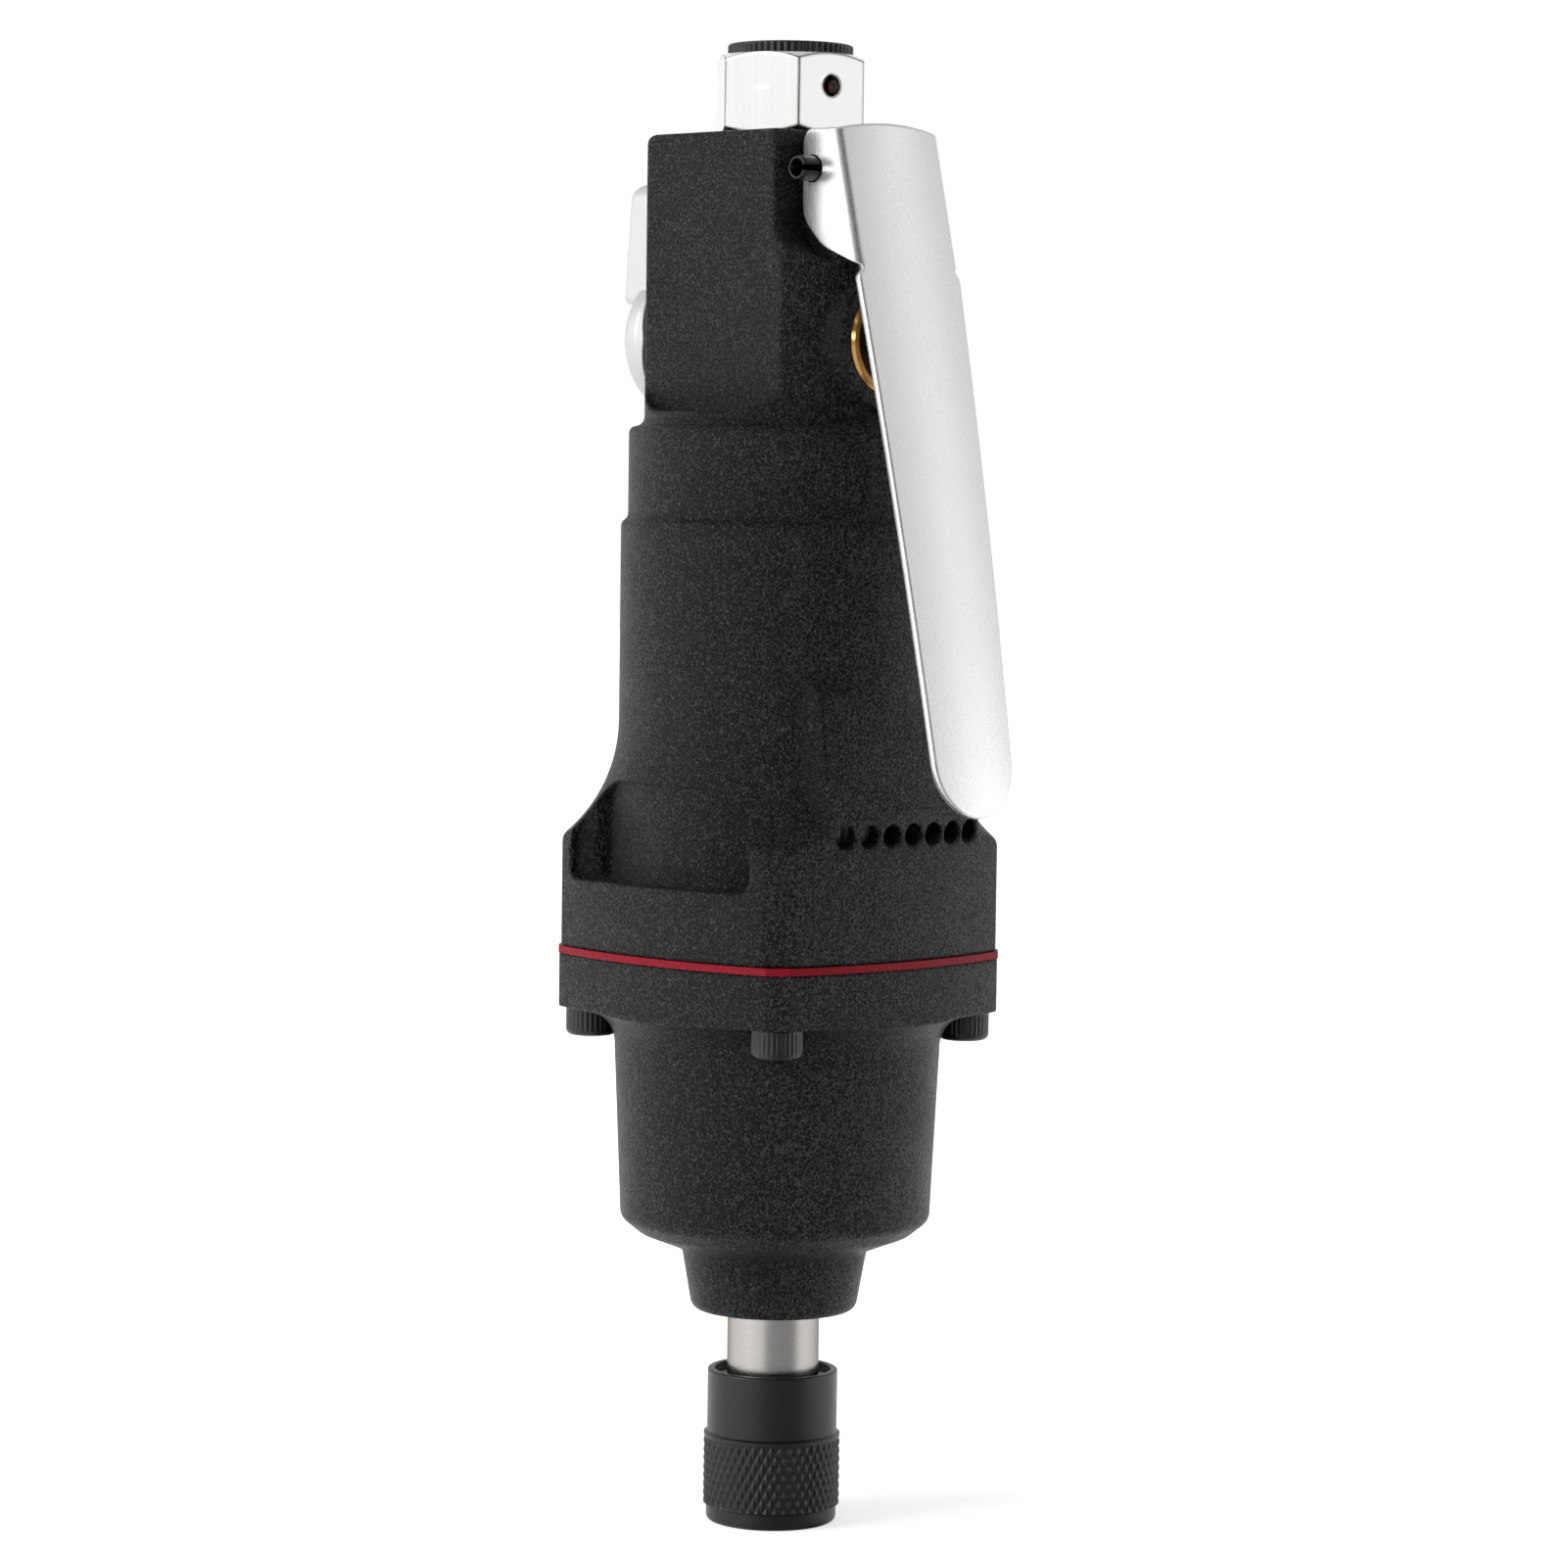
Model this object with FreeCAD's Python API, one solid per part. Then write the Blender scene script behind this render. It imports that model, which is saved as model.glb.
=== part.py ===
"""Air impact screwdriver, straight pattern, lever throttle, quarter-inch hex quick-change chuck.

Millimetres. The tool axis is Z: the chuck's front face is at Z = 0 and the air inlet is on top.
The throttle lever is on the +X side, its hinge pin runs along Y, and the reverse knob is on the -X side.
Each piece of the tool is one solid, or one group of like solids, in its own STEP file.
"""
import FreeCAD, Part
import math
import os

V = FreeCAD.Vector
ALONG_X = V(1, 0, 0)
ALONG_Y = V(0, 1, 0)
ALONG_Z = V(0, 0, 1)
CENTRE = V(0, 0, 0)

# ---------------------------------------------------------------- fits (on radius, or per face)
running_clearance = 0.03     # shafts and slides that move
journal_clearance = 0.05     # heavier or dirtier running fits
seat_clearance = 0.05        # pieces that drop into a bore and stay there
thread_clearance = 0.02      # screws in their threads, races and pins pressed home
seal_clearance = 0.03        # relaxed seal to the wall that it wipes
free_gap = 0.3               # faces that pass each other without touching
hinge_clearance = 0.1        # lever ears on the roll pin

overshoot = 1.0              # how far cutters run past the faces that they open
coil_steps = 16              # chords in one turn of a spring
hex_sides = 6

# ---------------------------------------------------------------- stack of outside lengths along Z
chuck_length = 21.3          # quick-change sleeve
neck_length = 8.3            # bare shaft between the sleeve and the hammer case
case_length = 42.0           # hammer case below its flange
case_flange = 7.5
gasket_thickness = 1.0
housing_flange = 14.6        # straight side of the motor housing's flange
barrel_length = 44.4         # from the flange's edge to the first step
ring_length = 12.8           # stepped ring above the barrel
head_length = 39.8
hex_length = 11.0            # inlet bushing's wrench hex
collar_length = 1.5          # knurled swivel collar

case_low = chuck_length + neck_length
flange_low = case_low + case_length
joint_face = flange_low + case_flange
housing_low = joint_face + gasket_thickness
flange_high = housing_low + housing_flange
ring_low = flange_high + barrel_length
ring_high = ring_low + ring_length
head_top = ring_high + head_length
hex_top = head_top + hex_length
swivel_top = hex_top + collar_length

# ---------------------------------------------------------------- outside forms
flange_half_width = 25.5     # middle of each convex side
flange_side_radius = 72.0
case_corner_reach = 4.85     # rounded corners of the case's flange, outside its half width
housing_corner_reach = 4.6   # and of the housing's
flange_edge_round = 1.5
gasket_proud = 0.1
barrel_radius = 22.5
flare_radius = 20.7          # concave sweep from the barrel out to the flange
barrel_round = 0.8           # rounded edges of the barrel's and the ring's upper ends
ring_round = 0.9
ring_radius = 21.55
head_radius = 19.45
head_foot_fillet = 1.2
head_edge_round = 1.2
head_flat = 14.3             # distance of the head's side flats from the axis
head_flat_corner = 7.0
head_flat_foot = 2.0         # height of the flats' lower end above the ring

pocket_half_width = 17.3     # core-out pockets between the flange's corners
pocket_floor = 0.8           # outside the barrel's radius
screw_boss_radius = 4.0      # metal left round the tapped holes
pocket_height = 13.8
pocket_sill = 9.6            # flange height left below a pocket
pocket_top_corner = 10.0
pocket_low_corner = 1.5

pad_low_half_width = 14.8    # raised exhaust pad
pad_high_half_width = 13.7
pad_top = 38.9               # above the housing's lower face
pad_rim = ((6.5, 0.0), (3.7, 2.7), (2.0, 8.9), (1.0, 15.1), (0.0, 19.5))  # setback and fall of its face
exhaust_count = 7
exhaust_pitch = 4.0
exhaust_radius = 1.45
exhaust_height = 17.0        # above the housing's lower face
exhaust_down_tilt = 20.0
exhaust_side_tilt = 20.0
exhaust_chamber_depth = 2.0
exhaust_chamber_half_width = 13.4
exhaust_chamber_height = 9.0

# ---------------------------------------------------------------- hammer case
nose_low_radius = 11.4
nose_high_radius = 12.9
nose_shoulder_round = 0.8
nose_length = 8.6            # from the case's front face to its shoulder
nose_round = 1.5
shoulder_radius = 18.9
shoulder_drop = 2.3          # height of the sloped shoulder
case_low_radius = 21.5
case_high_radius = 22.8
case_foot = 2.1              # height of the steeper slope below the case's side
case_round = 1.6
case_cavity_radius = 18.2
case_cavity_round = 1.6
case_floor = 15.0            # from the case's front face to the cavity
flange_fillet = 5.0

# ---------------------------------------------------------------- case screws, M4 socket head
screw_radius = 2.0
screw_head_radius = 3.5
screw_head_height = 4.0
screw_key_across = 3.0
screw_key_depth = 2.2
screw_length = 16.0
screw_inset = 4.5            # from the rounded corner of the case's flange
screw_hole_clearance = 0.2
screw_spotface = 3.7
tap_extra_depth = 1.2

# ---------------------------------------------------------------- chuck
bit_across_flats = 6.35
bit_clearance = 0.05
socket_depth = 22.0
anvil_nose_radius = 6.0
anvil_shaft_radius = 6.4
sleeve_radius = 9.05
sleeve_front_radius = 9.1
knurl_radius = 9.5
knurl_low = 2.2
knurl_high = 12.6
sleeve_wall = 1.0
sleeve_edge = 0.7            # rounded ends of the sleeve
knurl_edge = 0.3
sleeve_travel = 3.0
sleeve_release_radius = 6.95
bit_ball_radius = 1.75
bit_ball_reach = 0.55        # how far the ball stands into the hex socket
bit_ball_travel = 0.7
bit_ball_height = 13.0
spring_seat_height = 10.0
chuck_spring_wire = 0.35     # wire radius
chuck_spring_turns = 4.5
chuck_spring_radius = 7.05
front_ring_height = 1.1
front_ring_thickness = 0.9
front_ring_groove = 0.7
front_ring_radius = 7.1
front_ring_opening = 3.0
washer_thickness = 0.9
stop_washer_thickness = 1.0
stop_recess = 2.1            # depth of the sleeve's rear recess

# ---------------------------------------------------------------- nose bearing
nose_bushing_wall = 2.0
nose_lip = 1.4               # case material in front of the seal
nose_seal_length = 2.0

# ---------------------------------------------------------------- twin hammer impact mechanism
thrust_flange_radius = 8.9
thrust_flange_length = 2.5
thrust_flange_round = 0.3
anvil_journal_radius = 6.9
anvil_end_round = 0.5
cage_radius = 17.6
cage_hub_length = 3.1        # splined hub behind the cage's rear plate
cage_plate = 4.0
cage_hub_radius = 8.2
cage_strut_flat = 14.7
hammer_radius = 16.9
hammer_flat = 13.5
hammer_bore = 10.2
hammer_dog_bore = 7.6
hammer_dog_angle = 60.0
hammer_pin_radius = 2.2
hammer_pin_offset = 13.8
hammer_rock = 1.3            # free travel of the hammer on the second pin, each way
anvil_dog_radius = 9.3
anvil_dog_angle = 50.0
dog_gap_angle = 6.0

# ---------------------------------------------------------------- vane motor
barrel_wall = 1.95
liner_wall = 3.2
motor_offset = 1.7           # liner bore's offset towards the exhaust
motor_cover = 2.1            # casting between the motor's bore and the barrel's upper step
front_plate_thickness = 9.2
rear_plate_thickness = 8.0
plate_web = 1.2
rotor_tip_gap = 0.1          # rotor to the liner's bore where they are closest
rotor_side_gap = 0.2
vane_count = 5
vane_thickness = 2.0
vane_depth = 6.4
vane_clearance = 0.05
front_shaft_radius = 5.0
rear_shaft_radius = 4.0
shaft_hole_clearance = 0.5
front_bearing_radius = 13.0
rear_bearing_radius = 11.0
bearing_race_share = 0.27    # race thickness as a share of the bearing's section
bearing_ball_share = 0.3     # ball radius as a share of the bearing's section
front_bearing_balls = 8
rear_bearing_balls = 7
spline_teeth = 6
spline_depth = 0.9
spline_tooth_width = 2.2
dowel_radius = 1.25
dowel_reach = 3.0            # into the liner and into each end plate
liner_slot_width = 3.0
liner_slot_pitch = 6.0

# ---------------------------------------------------------------- throttle
throttle_below_top = 28.1    # valve axis below the head's top
throttle_boss_radius = 9.65
throttle_boss_proud = 0.55   # face of the boss outside the head's radius
throttle_bushing_radius = 5.0
throttle_bushing_length = 12.0
throttle_rim_radius = 7.5    # the bushing's flange, flush with the boss
throttle_rim_inner = 6.2
throttle_rim_length = 3.0
throttle_rim_depth = 1.2     # counterbore inside the rim
throttle_bushing_chamfer = 0.5
throttle_bushing_port = 1.3
throttle_port_from_end = 2.8
throttle_belt_depth = 0.8    # groove that leads air round the bushing
throttle_chamber_radius = 4.6
throttle_chamber_spare = 1.5 # room behind the plunger's tail when it is fully pushed
plunger_radius = 2.4
plunger_waist_radius = 1.5
plunger_waist_length = 5.6   # inside the bushing
plunger_travel = 2.9
plunger_head_radius = 3.9
plunger_head_length = 1.6
plunger_tail_radius = 1.2
plunger_tail_length = 2.2
plunger_lever_gap = 0.05
throttle_seal_wire = 0.6     # radius of the ring's section
throttle_seal_inset = 0.1
throttle_spring_wire = 0.3   # wire radius
throttle_spring_radius = 2.6
throttle_spring_turns = 4.5

# ---------------------------------------------------------------- lever
pin_radius = 1.7
pin_bore = 1.2
pin_slot = 0.9
pin_proud = 3.05
pin_x = 14.3
pin_below_top = 5.3          # pin's axis below the head's top
sheet = 1.2
lever_half_width = 9.9
lever_tip_half_width = 7.6
lever_straight = 19.0        # full width from the top down to here below the head's top
lever_above_top = 1.1        # middle of the arched upper edge
lever_edge_drop = 1.0        # its ends are this much lower
lever_top_x = 19.5           # middle of the face, at the head's top
lever_mid_x = 30.1
lever_tip_x = 38.0
lever_tip_below_top = 91.5
lever_mid_below_top = 48.2
lever_crown_radius = 70.0    # of the face, across its width
ear_back_x = 12.4
ear_top_corner = 2.0
ear_low_corner = 3.5
ear_foot_below_top = 13.4    # where the ear's back edge and lower edge would meet
ear_foot_slope = 0.476       # fall of the ear's lower edge towards the lever
machined_wall_x = 11.6       # wall cut across the head behind the ears
machined_drop = 1.5          # cut's floor below the ears' lower edge
machined_corner = 4.5
lug_front_x = 17.0           # lug that carries the lever's pin, at its top
lug_foot_x = 19.0
lug_foot_below_top = 15.0
lug_top_gap = 0.8
lug_round = 2.5
ear_gap = 0.3

# ---------------------------------------------------------------- reverse valve
reverse_below_top = 27.8     # valve axis below the head's top
spool_radius = 5.0
spool_length = 15.5
spool_face_gap = 0.2
spool_square = 5.0
knob_radius = 10.0
knob_disc = 2.6              # thickness of its disc
knob_hub_radius = 5.6
knob_height = 5.1            # from its inner face to the outside of its hub and tab
knob_gap = 0.45
knob_tab_height = 22.0
knob_tab_foot = 5.1          # tab's lower edge above the knob's axis
knob_tab_low_half_width = 7.3
knob_tab_high_half_width = 6.0
knob_tab_top_corner = 2.4
knob_tab_inner_gap = 0.7     # tab's back to the knob's inner face
knob_round = 1.0
knob_tab_inner_round = 0.5
knob_tab_outer_round = 2.0
knob_screw_radius = 1.5
knob_screw_head_radius = 2.75
knob_screw_head_height = 1.6
knob_screw_length = 9.0
knob_screw_key_across = 2.0
knob_screw_key_depth = 0.9
knob_screw_spare = 0.5       # tapped hole past the screw's end
knob_web = 1.1               # knob material under the screw's head
retainer_radius = 1.0
retainer_from_face = 7.3
retainer_length = 19.3
retainer_groove_depth = 1.1
retainer_groove_clearance = 0.1
detent_ball_radius = 1.5
detent_spring_wire = 0.2
detent_spring_turns = 3.0
detent_spring_radius = 1.05
detent_pocket_end = 1.7      # knob material behind the detent's pocket
detent_height = 9.0          # above the knob's axis
reverse_seal_wire = 0.6
reverse_seal_from_face = 3.0
spool_end_wall = 1.0         # spool material past the air slot

# ---------------------------------------------------------------- air inlet
hex_across_flats = 19.0
hex_turn = -8.9              # direction of the drilled face, degrees from +X
hex_chamfer = 1.0
hex_chamfer_angle = 30.0
inlet_spigot_radius = 9.95
inlet_spigot_length = 10.5
swivel_radius = 8.0
swivel_collar_radius = 8.6
swivel_collar_round = 0.6
swivel_tail = 7.7            # how far the swivel reaches below the hex
inlet_thread_radius = 5.72   # minor radius of the quarter-inch inlet thread
inlet_thread_length = 14.0
inlet_chamfer = 0.8
inlet_through_radius = 4.6
inlet_lip_radius = 6.4
swivel_ball_radius = 1.2
swivel_ball_count = 12
swivel_ball_below = 4.5      # ball race below the top of the hex
fill_hole_radius = 1.43
swivel_seal_wire = 0.7
swivel_seal_above_tail = 2.4
screen_rim = 0.7
screen_rim_radius = 9.0
screen_cup_radius = 4.2
screen_cup_depth = 5.0
screen_wall = 0.4
screen_hole_radius = 0.55
screen_hole_rings = ((6, 1.6), (10, 3.0))  # number of holes and radius of each ring
screen_pocket_radius = 4.9
inlet_passage_radius = 3.0
inlet_passage_x = 1.5
screen_pocket_gap = 0.6
feed_radius = 1.8            # drilled air passages between the valves
feed_below_axis = 8.0
feed_rise_x = 7.0
motor_port_radius = 1.5
motor_port_x = 14.0
motor_port_y = 2.7
motor_port_reach = 1.5       # into the spool's bore
liner_port_depth = 9.0
liner_port_height = 6.0


# ================================================================ building blocks
def rod(radius, low, high, x=0.0, y=0.0):
    """Cylinder along Z."""
    return Part.makeCylinder(radius, high - low, V(x, y, low), ALONG_Z)


def rod_x(radius, start, end, z, y=0.0):
    """Cylinder along X."""
    return Part.makeCylinder(radius, end - start, V(start, y, z), ALONG_X)


def rod_y(radius, start, end, x, z):
    """Cylinder along Y."""
    return Part.makeCylinder(radius, end - start, V(x, start, z), ALONG_Y)


def tube(outer, inner, low, high):
    return rod(outer, low, high).cut(rod(inner, low, high))


def block(x_low, x_high, y_low, y_high, z_low, z_high):
    return Part.makeBox(x_high - x_low, y_high - y_low, z_high - z_low, V(x_low, y_low, z_low))


def outline(place, start, *steps):
    """Closed face. Each step is a point for a line, or a pair (middle, end) of points for an arc."""
    edges = []
    here = start
    for step in list(steps) + [start]:
        curved = isinstance(step[0], tuple)
        there = step[1] if curved else step
        if curved:
            edges.append(Part.Arc(place(*here), place(*step[0]), place(*there)).toShape())
        elif math.dist(here, there) > 1e-9:
            edges.append(Part.LineSegment(place(*here), place(*there)).toShape())
        here = there
    return Part.Face(Part.Wire(edges))


def in_xz(x, z):
    return V(x, 0, z)


def in_yz(y, z):
    return V(0, y, z)


def in_xy(x, y):
    return V(x, y, 0)


def turned(start, *steps):
    """Solid of revolution about the tool axis, from an outline of (radius, height)."""
    return outline(in_xz, start, *steps).revolve(CENTRE, ALONG_Z, 360)


def turned_rounded(*corners):
    """Solid of revolution from (radius, height) corners, each with its rounding radius."""
    return rounded_outline(in_xz, corners).revolve(CENTRE, ALONG_Z, 360)


def corner_arc(corner, before, after, radius):
    """Round a right-angled or skewed corner: the two tangent points and the arc's middle."""
    to_before = V(before[0] - corner[0], before[1] - corner[1], 0).normalize()
    to_after = V(after[0] - corner[0], after[1] - corner[1], 0).normalize()
    half = to_before.getAngle(to_after) / 2
    reach = radius / math.tan(half)
    middle_way = (to_before + to_after).normalize()
    middle = middle_way * (radius / math.sin(half) - radius)
    first = (corner[0] + to_before.x * reach, corner[1] + to_before.y * reach)
    last = (corner[0] + to_after.x * reach, corner[1] + to_after.y * reach)
    return first, ((corner[0] + middle.x, corner[1] + middle.y), last)


def rounded_outline(place, corners):
    """Closed face from (point, rounding radius) pairs."""
    steps = []
    for index, (corner, radius) in enumerate(corners):
        before = corners[index - 1][0]
        after = corners[(index + 1) % len(corners)][0]
        if radius:
            steps.extend(corner_arc(corner, before, after, radius))
        else:
            steps.append(corner)
    return outline(place, steps[0], *steps[1:])


def both_sides(face, direction, half):
    """Prism that reaches the same distance to both sides of a face."""
    moved = face.copy()
    moved.translate(direction * -half)
    return moved.extrude(direction * (2 * half))


def hexagon(across_flats, low, high, turn=0.0):
    """Hexagonal bar along Z; one face's normal is at the given angle from +X."""
    reach = across_flats / 2 / math.cos(math.pi / hex_sides)
    ring = [math.radians(turn) + math.pi * (2 * k + 1) / hex_sides for k in range(hex_sides)]
    points = [(reach * math.cos(a), reach * math.sin(a)) for a in ring]
    face = outline(in_xy, points[0], *points[1:])
    face.translate(V(0, 0, low))
    return face.extrude(V(0, 0, high - low))


def around(shape, count, start=0.0):
    """Like copies of a shape, evenly spaced about the tool axis."""
    copies = []
    for k in range(count):
        one = shape.copy()
        one.rotate(CENTRE, ALONG_Z, start + 360.0 * k / count)
        copies.append(one)
    return copies


def sector(radius, start, sweep, low, high):
    """Wedge of a cylinder about the tool axis."""
    wedge = Part.makeCylinder(radius, high - low, V(0, 0, low), ALONG_Z, sweep)
    wedge.rotate(CENTRE, ALONG_Z, start)
    return wedge


def torus(mean_radius, wire_radius, centre, axis=ALONG_Z):
    return Part.makeTorus(mean_radius, wire_radius, centre, axis)


def coil(mean_radius, wire_radius, length, turns):
    """Helical spring from Z = 0 to Z = length, its wire mitred from chord to chord."""
    steps = math.ceil(turns * coil_steps)
    rise = length - 2 * wire_radius
    points = []
    for step in range(steps + 1):
        turn = 2 * math.pi * turns * step / steps
        points.append(V(mean_radius * math.cos(turn), mean_radius * math.sin(turn),
                        wire_radius + rise * step / steps))
    section = Part.Wire(Part.makeCircle(wire_radius, points[0], points[1] - points[0]))
    mitred = 1
    return Part.makePolygon(points).makePipeShell([section], True, False, mitred)


def along_x(shape, start, z):
    """Lay a shape built up Z from the origin along +X, from the given start, at height z."""
    laid = shape.copy()
    laid.rotate(CENTRE, ALONG_Y, 90)
    laid.translate(V(start, 0, z))
    return laid


def flange_corner(grow=0.0):
    """X and Y of the sharp corner where two convex sides of the flange's outline would meet."""
    reach = flange_side_radius + grow
    offset = flange_side_radius - flange_half_width
    return (math.sqrt(2 * reach ** 2 - offset ** 2) - offset) / 2


def flange_prism(low, high, grow=0.0):
    """Bar with the flange's outline: four convex sides."""
    far = flange_corner(grow)
    side = flange_half_width + grow
    face = outline(in_xy, (far, -far), ((side, 0), (far, far)), ((0, side), (-far, far)),
                   ((-side, 0), (-far, -far)), ((0, -side), (far, -far)))
    face.translate(V(0, 0, low))
    return face.extrude(V(0, 0, high - low))


def screw_places():
    offset = (case_corner_radius - screw_inset) / math.sqrt(2)
    return [(side_x * offset, side_y * offset) for side_x in (-1, 1) for side_y in (-1, 1)]


# ================================================================ shared places
case_corner_radius = flange_half_width + case_corner_reach
housing_corner_radius = flange_half_width + housing_corner_reach
throttle_z = head_top - throttle_below_top
reverse_z = head_top - reverse_below_top
pin_z = head_top - pin_below_top
cavity_low = case_low + case_floor
front_plate_high = joint_face + front_plate_thickness
rear_plate_high = ring_low - motor_cover
liner_high = rear_plate_high - rear_plate_thickness
bore_radius = barrel_radius - barrel_wall
liner_radius = bore_radius - seat_clearance
liner_bore_radius = liner_radius - liner_wall
rotor_radius = liner_bore_radius - motor_offset - rotor_tip_gap
liner_port_x = liner_radius - (liner_wall + motor_offset) / 2
bushing_radius = anvil_shaft_radius + running_clearance + nose_bushing_wall
cage_low = cavity_low + running_clearance + thrust_flange_length + free_gap
hub_high = joint_face - free_gap
cage_high = hub_high - cage_hub_length
cage_rear_low = cage_high - cage_plate
front_hammer_low = cage_low + cage_plate + free_gap
hammer_length = (cage_rear_low - front_hammer_low) / 2 - free_gap
rear_hammer_low = front_hammer_low + hammer_length + free_gap
sleeve_bore_radius = anvil_nose_radius + journal_clearance
sleeve_chamber_radius = sleeve_radius - sleeve_wall
stop_washer_low = chuck_length - stop_recess
nose_end = stop_washer_low + stop_washer_thickness
throttle_face_x = head_radius + throttle_boss_proud
throttle_rim_x = throttle_face_x - throttle_rim_length
bushing_inner_x = throttle_face_x - throttle_bushing_length
throttle_port_x = bushing_inner_x + throttle_port_from_end
plunger_head_x = bushing_inner_x - running_clearance - 2 * throttle_seal_wire
plunger_back_x = plunger_head_x - plunger_head_length
chamber_end_x = plunger_back_x - plunger_tail_length - plunger_travel - throttle_chamber_spare
spool_face_x = -(head_radius - spool_face_gap)
spool_end_x = spool_face_x + spool_length
retainer_x = spool_face_x + retainer_from_face
knob_inner_x = -(head_radius + knob_gap)
knob_outer_x = knob_inner_x - knob_height
knob_screw_seat_x = knob_outer_x + knob_screw_head_height
detent_ball_x = -(head_radius + running_clearance + detent_ball_radius)
spigot_low = head_top - inlet_spigot_length
race_z = hex_top - swivel_ball_below
swivel_low = head_top - swivel_tail
swivel_bore = swivel_radius + running_clearance


# ================================================================ motor housing
def housing_form():
    """The casting's turned form: flange, flare, barrel, stepped ring and head."""
    sweep_centre = barrel_radius + flare_radius
    edge_centre = housing_corner_radius - flange_edge_round
    turn = math.acos((sweep_centre - edge_centre) / (flare_radius + flange_edge_round))
    flare_top = flange_high + (flare_radius + flange_edge_round) * math.sin(turn)

    def on_edge(angle):
        return (edge_centre + flange_edge_round * math.cos(angle),
                flange_high + flange_edge_round * math.sin(angle))

    def on_flare(angle):
        return (sweep_centre - flare_radius * math.cos(angle), flare_top - flare_radius * math.sin(angle))

    flange = turned(
        (0, housing_low), (housing_corner_radius, housing_low), (housing_corner_radius, flange_high),
        (on_edge(turn / 2), on_flare(turn)), (on_flare(turn / 2), (barrel_radius, flare_top)),
        (0, flare_top))
    upper = turned_rounded(
        ((0, flare_top), 0), ((barrel_radius, flare_top), 0), ((barrel_radius, ring_low), barrel_round),
        ((ring_radius, ring_low), 0), ((ring_radius, ring_high), ring_round),
        ((head_radius, ring_high), head_foot_fillet), ((head_radius, head_top), head_edge_round),
        ((0, head_top), 0))
    return flange.fuse(upper)


def exhaust_pad():
    """Raised pad that blends the barrel into the exhaust side of the flange, flush with its face."""
    turn_x = flange_half_width - flange_side_radius
    top = housing_low + pad_top
    start = flange_high - flange_edge_round
    rim = [(flange_side_radius - setback, top - fall) for setback, fall in pad_rim]
    inner = abs(turn_x)
    face = outline(in_xz, (inner, start), (flange_side_radius, start), *reversed(rim), (inner, top))
    pad = face.revolve(CENTRE, ALONG_Z, 360)
    pad.translate(V(turn_x, 0, 0))
    wedge = outline(in_yz, (-pad_low_half_width, start), (pad_low_half_width, start),
                    (pad_high_half_width, top), (-pad_high_half_width, top))
    return pad.common(wedge.extrude(ALONG_X * (flange_half_width + overshoot)))


def flange_pocket():
    """Core-out between two corners of the flange on the -Y side; the barrel and two screw bosses bound it."""
    low = housing_low + pocket_sill
    high = low + pocket_height
    face = rounded_outline(in_xz, [
        ((-pocket_half_width, low), pocket_low_corner), ((pocket_half_width, low), pocket_low_corner),
        ((pocket_half_width, high), pocket_top_corner), ((-pocket_half_width, high), pocket_top_corner)])
    kept = [rod(barrel_radius + pocket_floor, low, high)]
    kept += [rod(screw_boss_radius, low, high, x, y) for x, y in screw_places()]
    return face.extrude(ALONG_Y * -flange_side_radius).cut(kept)


def exhaust_cuts():
    """Row of drillings through the pad, aimed down and to one side, and the chamber behind them."""
    aim = V(1, -math.tan(math.radians(exhaust_side_tilt)), -math.tan(math.radians(exhaust_down_tilt)))
    aim.normalize()
    height = housing_low + exhaust_height
    turn_x = flange_half_width - flange_side_radius
    chamber_x = bore_radius + exhaust_chamber_depth
    half_height = exhaust_chamber_height / 2
    cuts = [block(0, chamber_x, -exhaust_chamber_half_width, exhaust_chamber_half_width,
                  height - half_height, height + half_height)]
    for k in range(exhaust_count):
        y = (k - (exhaust_count - 1) / 2) * exhaust_pitch
        mouth = V(turn_x + math.sqrt(flange_side_radius ** 2 - y ** 2), y, height)
        inward = (mouth.x - chamber_x + exhaust_radius) / aim.x
        length = inward + 2 * exhaust_radius
        cuts.append(Part.makeCylinder(exhaust_radius, length, mouth - aim * inward, aim))
    return cuts


def head_flat_cut():
    """Side flat of the head on -Y, with rounded lower corners."""
    low = ring_high + head_flat_foot
    half = math.sqrt(head_radius ** 2 - head_flat ** 2) + overshoot
    face = rounded_outline(in_xz, [
        ((-half, low), head_flat_corner), ((half, low), head_flat_corner),
        ((half, head_top + overshoot), 0), ((-half, head_top + overshoot), 0)])
    face.translate(ALONG_Y * -head_flat)
    return face.extrude(ALONG_Y * -head_radius)


def lever_seat_cut():
    """Machined step on the +X side that gives the lever's ears room, less the lug for the pin."""
    floor = head_top - ear_foot_below_top - machined_drop
    reach = head_radius + overshoot
    end = floor - ear_foot_slope * (reach - machined_wall_x)
    root = end - overshoot
    step = rounded_outline(in_xz, [
        ((machined_wall_x, head_top + overshoot), 0), ((machined_wall_x, floor), machined_corner),
        ((reach, end), 0), ((reach, head_top + overshoot), 0)])
    lug = rounded_outline(in_xz, [
        ((0, root), 0), ((lug_foot_x, root), 0), ((lug_foot_x, head_top - lug_foot_below_top), 0),
        ((lug_front_x, head_top - lug_top_gap), lug_round), ((0, head_top - lug_top_gap), 0)])
    lug_half = lever_half_width - sheet - ear_gap
    return both_sides(step, ALONG_Y, head_radius).cut(both_sides(lug, ALONG_Y, lug_half))


def throttle_cuts():
    """Stepped bore for the bushing, and the valve chamber behind it."""
    outside = throttle_face_x + overshoot
    return [rod_x(throttle_rim_radius + seat_clearance, throttle_rim_x, outside, throttle_z),
            rod_x(throttle_bushing_radius + seat_clearance, bushing_inner_x, outside, throttle_z),
            rod_x(throttle_chamber_radius, chamber_end_x, bushing_inner_x, throttle_z)]


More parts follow.
